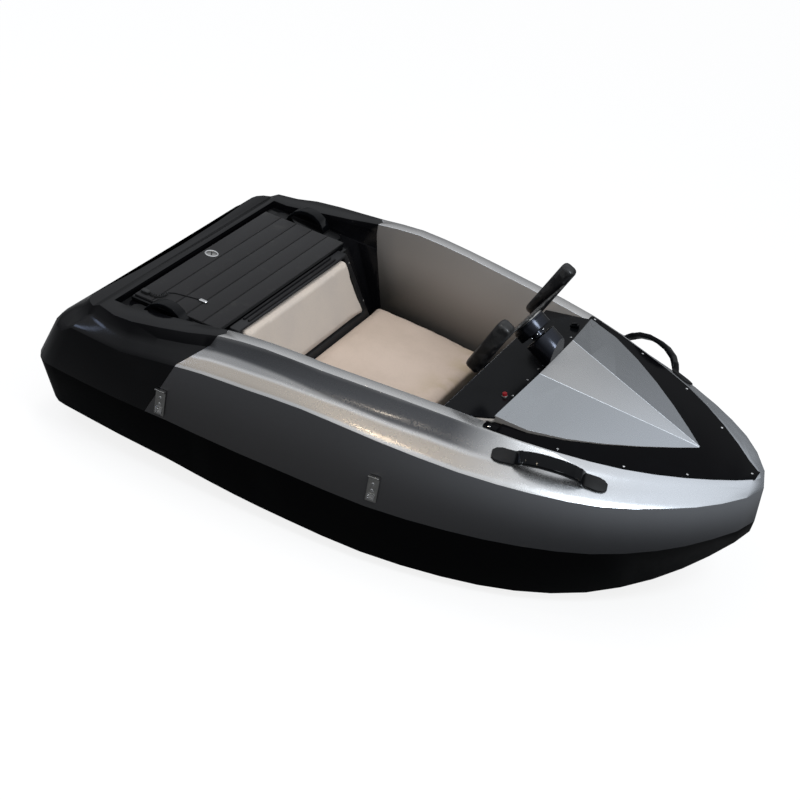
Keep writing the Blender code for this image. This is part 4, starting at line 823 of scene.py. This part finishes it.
def puffed(piece, pressure, cap):  # cloth under pressure, each point held within cap of its start
    before = [vertex.co.copy() for vertex in piece.data.vertices]
    cloth = piece.modifiers.new("cloth", "CLOTH")
    cloth.settings.use_pressure = True
    cloth.settings.uniform_pressure_force = pressure
    cloth.settings.effector_weights.gravity = 0
    cloth.settings.quality = swelling["quality"]
    cloth.point_cache.frame_start = 1
    cloth.point_cache.frame_end = swelling["frames"]
    scene = bpy.context.scene
    for step in range(1, swelling["frames"] + 1):
        scene.frame_set(step)
    graph = bpy.context.evaluated_depsgraph_get()
    shape = piece.evaluated_get(graph).to_mesh()
    after = [vertex.co.copy() for vertex in shape.vertices]
    piece.evaluated_get(graph).to_mesh_clear()
    piece.modifiers.remove(cloth)
    for vertex, old, new in zip(piece.data.vertices, before, after):
        move = new - old
        if move.length > cap:
            move *= cap / move.length
        vertex.co = old + move
    scene.frame_set(1)


def makeSeatPads():
    for node, (name, finish, slot, voxel, pressure, cap, shrink, fill) in seatPads.items():
        bm = cadCopy(node)
        low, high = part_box(node)
        middle = (low + high) / 2
        smaller = [1 - 2 * shrink / side for side in high - low]
        bmesh.ops.translate(bm, vec=-middle, verts=bm.verts)
        bmesh.ops.scale(bm, vec=smaller, verts=bm.verts)
        bmesh.ops.translate(bm, vec=middle, verts=bm.verts)
        piece = addMesh(name, bm, finish, [node])
        addModifier(piece, "REMESH", mode="VOXEL", voxel_size=voxel)
        graph = bpy.context.evaluated_depsgraph_get()
        solid = bpy.data.meshes.new_from_object(piece.evaluated_get(graph))
        piece.modifiers.clear()
        piece.data = solid
        solid.materials.clear()
        solid.materials.append(finishes[finish])
        puffed(piece, pressure, cap)
        solid.shade_smooth()
        addModifier(piece, "SUBSURF", levels=1, render_levels=1)
        print("pad made:", name, len(solid.vertices))


makeSeatPads()


# Backrest frame: two long ribs on its top and screws at its sides

ribs = {
    "size": (0.0075, 0.500, 0.0070),
    "places": [-0.4755, -0.4600],
    "height": 0.4062,
    "round": 0.0030,
}
frameFront = {
    "foot": (-0.377, 0.251),
    "lean": math.radians(26.3),
    "screws": [(0.3135, 0.378), (0.3395, 0.262)],  # across and up
}


def makeSeatTrim():
    bars = [block(ribs["size"], Matrix.Translation((x, 0, ribs["height"])), ribs["round"], 3)
            for x in ribs["places"]]
    addPiece("frameRibs", merged(bars), "rubber", smooth=40)
    lean = frameFront["lean"]
    x, z = frameFront["foot"]
    normal = (math.cos(lean), 0, math.sin(lean))
    places = [standing((x - math.tan(lean) * (up - z), side * across, up), normal)
              for across, up in frameFront["screws"] for side in (-1, 1)]
    screws("frameScrews", places, screwRadius["seat"], "steel")


makeSeatTrim()
print("seat made")


# Helm: plate, hub with its release balls, grips, and bolts round the boss

column = Matrix((
    (0.0, 0.529919, -0.848048, 0.2275), (-1.0, 0.0, 0.0, 0.0), (0.0, 0.848048, 0.529919, 0.5910),
    (0.0, 0.0, 0.0, 1.0),
))  # local Z towards the driver, Y up in the wheel
hub = {
    "rim": [(0, -0.0428), (0.0460, -0.0428), (0.0482, -0.0414), (0.0488, -0.0392), (0.0488, -0.0150),
            (0.0478, -0.0143), (0.0478, -0.0128), (0.0488, -0.0121), (0.0488, -0.0070), (0.0470, -0.0032),
            (0, -0.0030)],
    "paintedRimHighlight": (0.0475, -0.0075),  # the chamfer beside the plate, in steel as a painted highlight: least radius and height
    "neck": [(0, -0.0566), (0.0190, -0.0566), (0.0215, -0.0552), (0.0215, -0.0500), (0.0205, -0.0490),
             (0.0205, -0.0470), (0.0215, -0.0460), (0.0215, -0.0428), (0, -0.0428)],
    "ballRing": 0.0222,
    "ballHeight": -0.0480,
    "ball": 0.0034,
    "balls": 6,
    "plateRound": 0.0012,
}
boss = {
    "shape": [(0, -0.0576), (0.0425, -0.0576), (0.0452, -0.0590), (0.0460, -0.0612), (0.0460, -0.1770),
              (0, -0.1770)],
    "over": (0.25, 0.1),  # where the dash panel's plane is read
    "gap": 0.0004,
    "front": 0.3347,
}
bossBolts = [(0.3035, 0.026), (0.3200, 0.052)]


def makeBoss():
    bm = lathe(boss["shape"], column, 64)
    foot, normal = surfaceUnder("dash_panel", *boss["over"])
    for point, heading in ((foot + normal * boss["gap"], -normal), ((boss["front"], 0, 0), (1, 0, 0))):
        cutAway(bm, point, heading)
    addPiece("helmBoss", bm, "anodised", ["helm_boss"], smooth=35)


def makeHelm():
    rim = lathe(hub["rim"], None, 64)
    radius, height = hub["paintedRimHighlight"]
    for face in rim.faces:
        centre = face.calc_center_median()
        if centre.z > height and centre.xy.length > radius:
            face.material_index = 1
    rim.transform(column)
    addPiece("hubRim", merged([rim, lathe(hub["neck"], column, 48)]), ["anodised", "steel"],
             ["wheel_hub"], smooth=35, body="wheel")
    balls = []
    for turn in range(hub["balls"]):
        angle = math.tau * (turn + 0.5) / hub["balls"]
        ball = bmesh.new()
        spot = column @ Matrix.Translation((
            hub["ballRing"] * math.cos(angle), hub["ballRing"] * math.sin(angle), hub["ballHeight"]))
        bmesh.ops.create_uvsphere(ball, u_segments=14, v_segments=10, radius=hub["ball"], matrix=spot)
        balls.append(ball)
    addPiece("releaseBalls", merged(balls), "brightSteel", smooth=60, body="wheel")
    plate = cadCopy("wheel_plate")
    roundEdges(plate, hub["plateRound"])
    addMesh("wheelPlate", plate, "carbon", ["wheel_plate"], smooth=35, body="wheel")
    for side in ("port", "starboard"):
        grip = cadCopy("grip_" + side, flat=0.3)
        addMesh("grip." + side, grip, "grip", ["grip_" + side], smooth=50, body="wheel")
    screws("bossBolts", pairsOn("dash_panel", bossBolts), screwRadius["boss"])


makeBoss()
makeHelm()
print("helm made")


# Dash fittings: switch, rocker and knob

switch = {
    "at": (0.2880, -0.2170),
    "cap": [(0, 0.0115), (0.0048, 0.0115), (0.0064, 0.0103), (0.0066, 0.0042), (0.0066, 0.0030), (0, 0.0030)],
    "collar": [(0, 0.0032), (0.0062, 0.0032), (0.0078, 0.0028), (0.0084, 0.0016), (0.0084, 0.0003),
               (0, 0.0003)],
}
rocker = {
    "at": (0.2895, 0.2740),
    "size": (0.014, 0.024, 0.008),
    "high": 0.0048,
    "round": 0.0015,
    "key": (0.009, 0.018, 0.004),
    "keyHigh": 0.0112,
    "keyRound": 0.0012,
    "tilt": 0.16,
}


def makeDashFittings():
    place = standing(*surfaceUnder("dash_panel", *switch["at"]))
    cap, collar = (lathe(switch[part], place, 28) for part in ("cap", "collar"))
    addPiece("switchCap", cap, "red", ["red_switch"], smooth=40)
    addPiece("switchCollar", collar, "steel", smooth=40)
    place = standing(*surfaceUnder("dash_panel", *rocker["at"]))
    body = block(rocker["size"], place @ Matrix.Translation((0, 0, rocker["high"])), rocker["round"])
    tilted = Matrix.Translation((0, 0, rocker["keyHigh"])) @ Matrix.Rotation(rocker["tilt"], 4, "X")
    both = merged([body, block(rocker["key"], place @ tilted, rocker["keyRound"])])
    addPiece("rockerSwitch", both, "blackGloss", ["black_knob"], smooth=40)


makeDashFittings()
print("dash made")


# Hatch: lid, planked foam mat and ring latch

latch = {
    "at": (-0.734, 0.0),
    "foot": 0.4062,
    "ring": [(0.0150, 0.0066), (0.0165, 0.0074), (0.0190, 0.0074), (0.0206, 0.0064), (0.0208, 0.0002),
             (0.0150, 0.0002), (0.0150, 0.0066)],
    "plug": [(0, 0.0052), (0.0135, 0.0052), (0.0147, 0.0044), (0.0148, 0.0002), (0, 0.0002)],
    "slot": (0.0040, 0.0200, 0.0010),
    "slotHigh": 0.0054,
    "slotTurn": 0.5,
    "slotRound": 0.0004,
}
matTrim = {
    "round": 0.0010,
    "shortest": 0.05,  # edges below this length stay sharp
}


def makeHatch():
    lid = cadCopy("hatch_lid")
    addMesh("hatchLid", lid, "stern", ["hatch_lid"], smooth=35, body="hatch")
    mat = cadCopy("hatch_mat")
    roundEdges(mat, matTrim["round"], 60.0, where=lambda edge: edge.calc_length() > matTrim["shortest"])
    addMesh("foamMat", mat, "foam", ["hatch_mat"], smooth=35, body="hatch")
    place = Matrix.Translation((*latch["at"], latch["foot"]))
    ring = lathe(latch["ring"], place, 48)
    addPiece("latchRing", ring, "brightSteel", ["hatch_latch"], smooth=35, body="hatch")
    addPiece("latchPlug", lathe(latch["plug"], place, 40), "steel", smooth=35, body="hatch")
    turned = Matrix.Translation((0, 0, latch["slotHigh"])) @ Matrix.Rotation(latch["slotTurn"], 4, "Z")
    slot = block(latch["slot"], place @ turned, latch["slotRound"], 1)
    addPiece("latchSlot", slot, "frame", body="hatch")


makeHatch()
print("hatch made")


# Grab handles: round-ended pads, stepped collars and a smooth arch

handles = {
    # place: aft end and front end in plan, to port
    "bow": ((0.352, 0.422), (0.640, 0.332)),
    "stern": ((-0.742, 0.394), (-0.522, 0.394)),
}
handleShape = {
    "round": 0.0050,
    "collar": (0.205, 0.250),  # share of the length
    "collarStep": 0.0011,
}


def makeHandle(node, start, end):
    along = end - start
    length = along.length
    along.normalize()
    bm = cadCopy(node, flat=0.3)
    roundEdges(bm, handleShape["round"], 50.0, 3)
    first, second = handleShape["collar"]
    for share in (first, second, 1 - second, 1 - first):
        cutAway(bm, start + along * length * share, along, clear=False)
    band = []
    for face in bm.faces:
        share = (face.calc_center_median() - start).dot(along) / length
        share = min(share, 1 - share)
        face.material_index = 1 if share > first else 0
        if first < share < second:
            band.append(face)
    tops = extruded(bm, band)
    bmesh.ops.delete(bm, geom=band, context="FACES")
    bm.normal_update()
    moves = [(vert, vert.normal.copy()) for vert in tops]
    for vert, normal in moves:
        vert.co += (normal - along * normal.dot(along)) * handleShape["collarStep"]
    addMesh("grab." + node, bm, ["rubber", "blackGloss"], [node], smooth=45)


def makeHandles():
    for place, ends in handles.items():
        for sideName, side in (("starboard", -1), ("port", 1)):
            start, end = (Vector((x, side * y, 0)) for x, y in ends)
            makeHandle(f"{place}_handle_{sideName}", start, end)


makeHandles()
print("handles made")


# Side brackets: plate with a lip, two screws and a slotted loop

brackets = {
    # place: middle of the plate's outer face and its outward normal, to port
    "aft": ((-0.530, 0.5570, 0.253), (0.0243, 0.9990, -0.0372)),
    "fore": ((0.101, 0.5370, 0.261), (0.1381, 0.9899, -0.0337)),
}
bracketTrim = {
    "screws": (0.016, -0.004),  # up from the middle
    "loop": -0.024,
    "loopSize": (0.0200, 0.0160, 0.0028),
    "holeHigh": 0.0075,
    "sharp": 0.8,  # edges with a larger angle, in radians, are rounded
    "round": 0.0008,
    "plateRound": 0.0012,
    "gap": 0.0002,
    "standOff": 0.05,  # where a ray towards the plate starts
}


def makeBracket(node, middle, normal):
    plate = cadCopy(node)
    roundEdges(plate, bracketTrim["plateRound"], 40.0)
    addMesh("plate." + node, plate, "steel", [node], smooth=35)
    up = (Vector((0, 0, 1)) - normal * normal.z).normalized()
    turn = Matrix((up.cross(normal), up, normal)).transposed().to_4x4()
    hit, _ = surfaceAlong(node, middle + normal * bracketTrim["standOff"], -normal)
    place = Matrix.Translation(hit) @ turn
    heads = [place @ Matrix.Translation((0, rise, 0)) for rise in bracketTrim["screws"]]
    screws("screws." + node, heads, screwRadius["bracket"])
    wide, high, deep = bracketTrim["loopSize"]
    loop = block((wide, high, deep))
    tops = [face for face in loop.faces if abs(face.normal.z) > 0.9]
    bmesh.ops.inset_region(loop, faces=tops, thickness=(high - bracketTrim["holeHigh"]) / 2)
    bmesh.ops.bridge_loops(loop, edges=[edge for face in tops for edge in face.edges])
    bmesh.ops.delete(loop, geom=tops, context="FACES_ONLY")
    sharp = [edge for edge in loop.edges if edge.calc_face_angle(0.0) > bracketTrim["sharp"]]
    bevelled(loop, sharp, bracketTrim["round"], 2)
    lift = Matrix.Translation((0, bracketTrim["loop"], deep / 2 + bracketTrim["gap"]))
    loop.transform(place @ lift)
    addPiece("loop." + node, loop, "brightSteel", smooth=40)


def makeBrackets():
    for sideName, side in (("starboard", -1), ("port", 1)):
        mirror = Vector((1, side, 1))
        for end, (middle, normal) in brackets.items():
            makeBracket(f"bracket_{sideName}_{end}", Vector(middle) * mirror, Vector(normal) * mirror)


makeBrackets()
print("brackets made")


# Every CAD node that stays visible gets its finish

nodeFinish = {
    "battery_block": "plastic", "motor_block": "cast", "pump_housing": "cast", "impeller": "cast",
    "steering_nozzle": "cast", "intake_grille": "steel", "drain_plug": "plastic", "lanyard_clip": "plastic",
    "lanyard_hook": "brightSteel",
}


def finishNodes():
    for name, finish in nodeFinish.items():
        mesh = nodes[name].data
        mesh.materials.clear()
        mesh.materials.append(finishes[finish])


finishNodes()


# Safety lanyard: curly wire, then a thin cord to the hook

lanyard = {
    "wire": 0.0013,  # radius of the curly wire
    "coilRadius": 0.0041,  # middle of its turns
    "pitch": 0.0062,
    "turnPoints": 14,
    "cordRadius": 0.0016,
    "coilHeight": 0.41780,
    "cordHeight": 0.41390,
    "steps": (12, 6),  # between two points of the wire's and the cord's route
}
coilRoute = [(-0.7277, -0.334), (-0.722, -0.334), (-0.710, -0.335), (-0.700, -0.329), (-0.695, -0.318),
             (-0.693, -0.306), (-0.693, -0.301)]
cordRoute = [(-0.693, -0.3007, 0.0039), (-0.693, -0.297, 0.0039), (-0.690, -0.287, 0.001),
             (-0.680, -0.277, 0.0), (-0.655, -0.270, 0.0), (-0.630, -0.263, 0.0), (-0.617, -0.261, 0.001),
             (-0.612, -0.261, 0.001)]


def smoothRoute(points, steps):  # Catmull-Rom through the route's points
    points = [Vector(point) for point in points]
    padded = [2 * points[0] - points[1], *points, 2 * points[-1] - points[-2]]
    line = []
    for a, b, c, d in zip(padded, padded[1:], padded[2:], padded[3:]):
        for step in range(steps):
            t = step / steps
            line.append(0.5 * (2 * b + (c - a) * t + (2 * a - 5 * b + 4 * c - d) * t * t
                               + (3 * b - a - 3 * c + d) * t ** 3))
    line.append(points[-1])
    return line


def cordPiece(name, line, radius, finish, node):
    data = bpy.data.curves.new(name, "CURVE")
    data.dimensions = "3D"
    data.bevel_depth = radius
    data.bevel_resolution = 3
    data.use_fill_caps = True
    spline = data.splines.new("POLY")
    spline.points.add(len(line) - 1)
    for point, place in zip(spline.points, line):
        point.co = (*place, 1.0)
    data.materials.append(finishes[finish])
    piece = newObject(name, data)
    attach(piece, "hatch")
    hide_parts(node)
    return piece


def lineLength(line):
    return sum((b - a).length for a, b in zip(line, line[1:]))


def makeLanyard():
    coilSteps, cordSteps = lanyard["steps"]
    route = smoothRoute([(x, y, lanyard["coilHeight"]) for x, y in coilRoute], coilSteps)
    total = lineLength(route)
    turns = total / lanyard["pitch"]
    count = round(turns * lanyard["turnPoints"])
    helix = []
    walked = 0.0
    index = 0
    for step in range(count + 1):
        target = total * step / count
        while index < len(route) - 2 and walked + (route[index + 1] - route[index]).length < target:
            walked += (route[index + 1] - route[index]).length
            index += 1
        ahead = (route[index + 1] - route[index]).normalized()
        centre = route[index] + ahead * (target - walked)
        side = ahead.cross(Vector((0, 0, 1))).normalized()
        angle = math.tau * turns * step / count
        outward = side * math.cos(angle) + side.cross(ahead) * math.sin(angle)
        helix.append(centre + outward * lanyard["coilRadius"])
    coil = cordPiece("curlyWire", helix, lanyard["wire"], "plastic", "lanyard_coil")
    lineLength(helix)
    line = smoothRoute([(x, y, lanyard["cordHeight"] + lift) for x, y, lift in cordRoute], cordSteps)
    cord = cordPiece("wristCord", line, lanyard["cordRadius"], "rubber", "lanyard_cord")
    lineLength(line)
    print("lanyard made")


makeLanyard()


# Stage: white floor, soft lamps, white background

stage = {
    "floorSize": 14.0,
    "floorDrop": 0.0006,
    "floorGlow": 0.80,  # share of plain white that the camera sees in the floor
    "glowStrength": 1.06,
    "pale": 0.9,
    "floorTone": 0.16,  # what the boat's paint sees of it
    "sky": {"From Min": 0.10, "From Max": 0.85, "To Min": 0.14, "To Max": 1.0},  # brightness over height
    "skyTone": (0.93, 0.96, 1.0),
}
lamps = {
    # name: place, aim, size, watts, colour
    "keyLamp": ((-1.0, -0.35, 3.4), (-0.1, -0.2, 0.3), 1.1, 22.0, (1.0, 0.97, 0.93)),
    "bowLamp": ((1.9, -1.15, 2.6), (0.75, -0.3, 0.4), 0.9, 34.0, (0.86, 0.93, 1.0)),
    "glintLamp": ((-0.21, -1.09, 2.45), (0.25, -0.47, 0.4), 0.12, 2.2, (1.0, 0.86, 0.68)),
    "sternLamp": ((-2.10, -0.90, 1.6), (-0.72, -0.5, 0.37), 0.40, 2.6, (0.55, 0.68, 1.0)),
}


def makeStage():
    bm = bmesh.new()
    bmesh.ops.create_grid(bm, x_segments=1, y_segments=1, size=stage["floorSize"] / 2)
    bmesh.ops.translate(bm, vec=(0, 0, -stage["floorDrop"]), verts=bm.verts)
    mesh = bpy.data.meshes.new("paleFloor")
    bm.to_mesh(mesh)
    bm.free()
    floor = newObject("paleFloor", mesh)
    paint = Paint("paleFloor", baseColor=[stage["floorTone"]] * 3, roughness=0.9, specular=0.0)
    seen = paint.node("LightPath", out="Is Camera Ray")
    pale = paint.node("BsdfDiffuse", {"Color": [stage["pale"]] * 3})
    glow = paint.node("Emission", {"Color": (1, 1, 1), "Strength": stage["glowStrength"]})
    white = paint.node("MixShader", {0: stage["floorGlow"], 1: pale, 2: glow})
    blend = paint.node("MixShader", {0: seen, 2: white})
    paint.tree.links.new(paint.shader.outputs[0], blend.socket.node.inputs[1])
    paint.tree.links.new(blend.socket, paint.tree.nodes["Material Output"].inputs["Surface"])
    mesh.materials.append(paint.material)


def makeWorld():  # brighter overhead, dim at the horizon, white to the camera
    world = bpy.data.worlds.new("studio")
    bpy.context.scene.world = world
    world.use_nodes = True
    tree = world.node_tree
    tree.nodes.clear()
    path, where, split, rise, plain, white, blend, output = (tree.nodes.new("ShaderNode" + kind) for kind in (
        "LightPath", "TexCoord", "SeparateXYZ", "MapRange", "Background", "Background", "MixShader",
        "OutputWorld",
    ))
    for end in ("From Min", "From Max", "To Min", "To Max"):
        rise.inputs[end].default_value = stage["sky"][end]
    plain.inputs["Color"].default_value = (*stage["skyTone"], 1)
    white.inputs["Color"].default_value = (1, 1, 1, 1)
    for start, end in (
        (where.outputs["Generated"], split.inputs[0]),
        (split.outputs["Z"], rise.inputs["Value"]),
        (rise.outputs[0], plain.inputs["Strength"]),
        (path.outputs["Is Camera Ray"], blend.inputs[0]),
        (plain.outputs[0], blend.inputs[1]),
        (white.outputs[0], blend.inputs[2]),
        (blend.outputs[0], output.inputs["Surface"]),
    ):
        tree.links.new(start, end)


def makeLamps():
    for name, (place, aim, size, watts, colour) in lamps.items():
        data = bpy.data.lights.new(name, "AREA")
        data.shape = "DISK"
        data.size = size
        data.energy = watts
        data.color = colour
        lamp = newObject(name, data)
        lamp.location = place
        lamp.rotation_euler = (Vector(place) - Vector(aim)).to_track_quat("Z", "Y").to_euler()
        lamp.visible_glossy = name != "keyLamp"


makeStage()
makeWorld()
makeLamps()
bpy.context.scene.view_settings.view_transform = "Standard"
print("stage made")
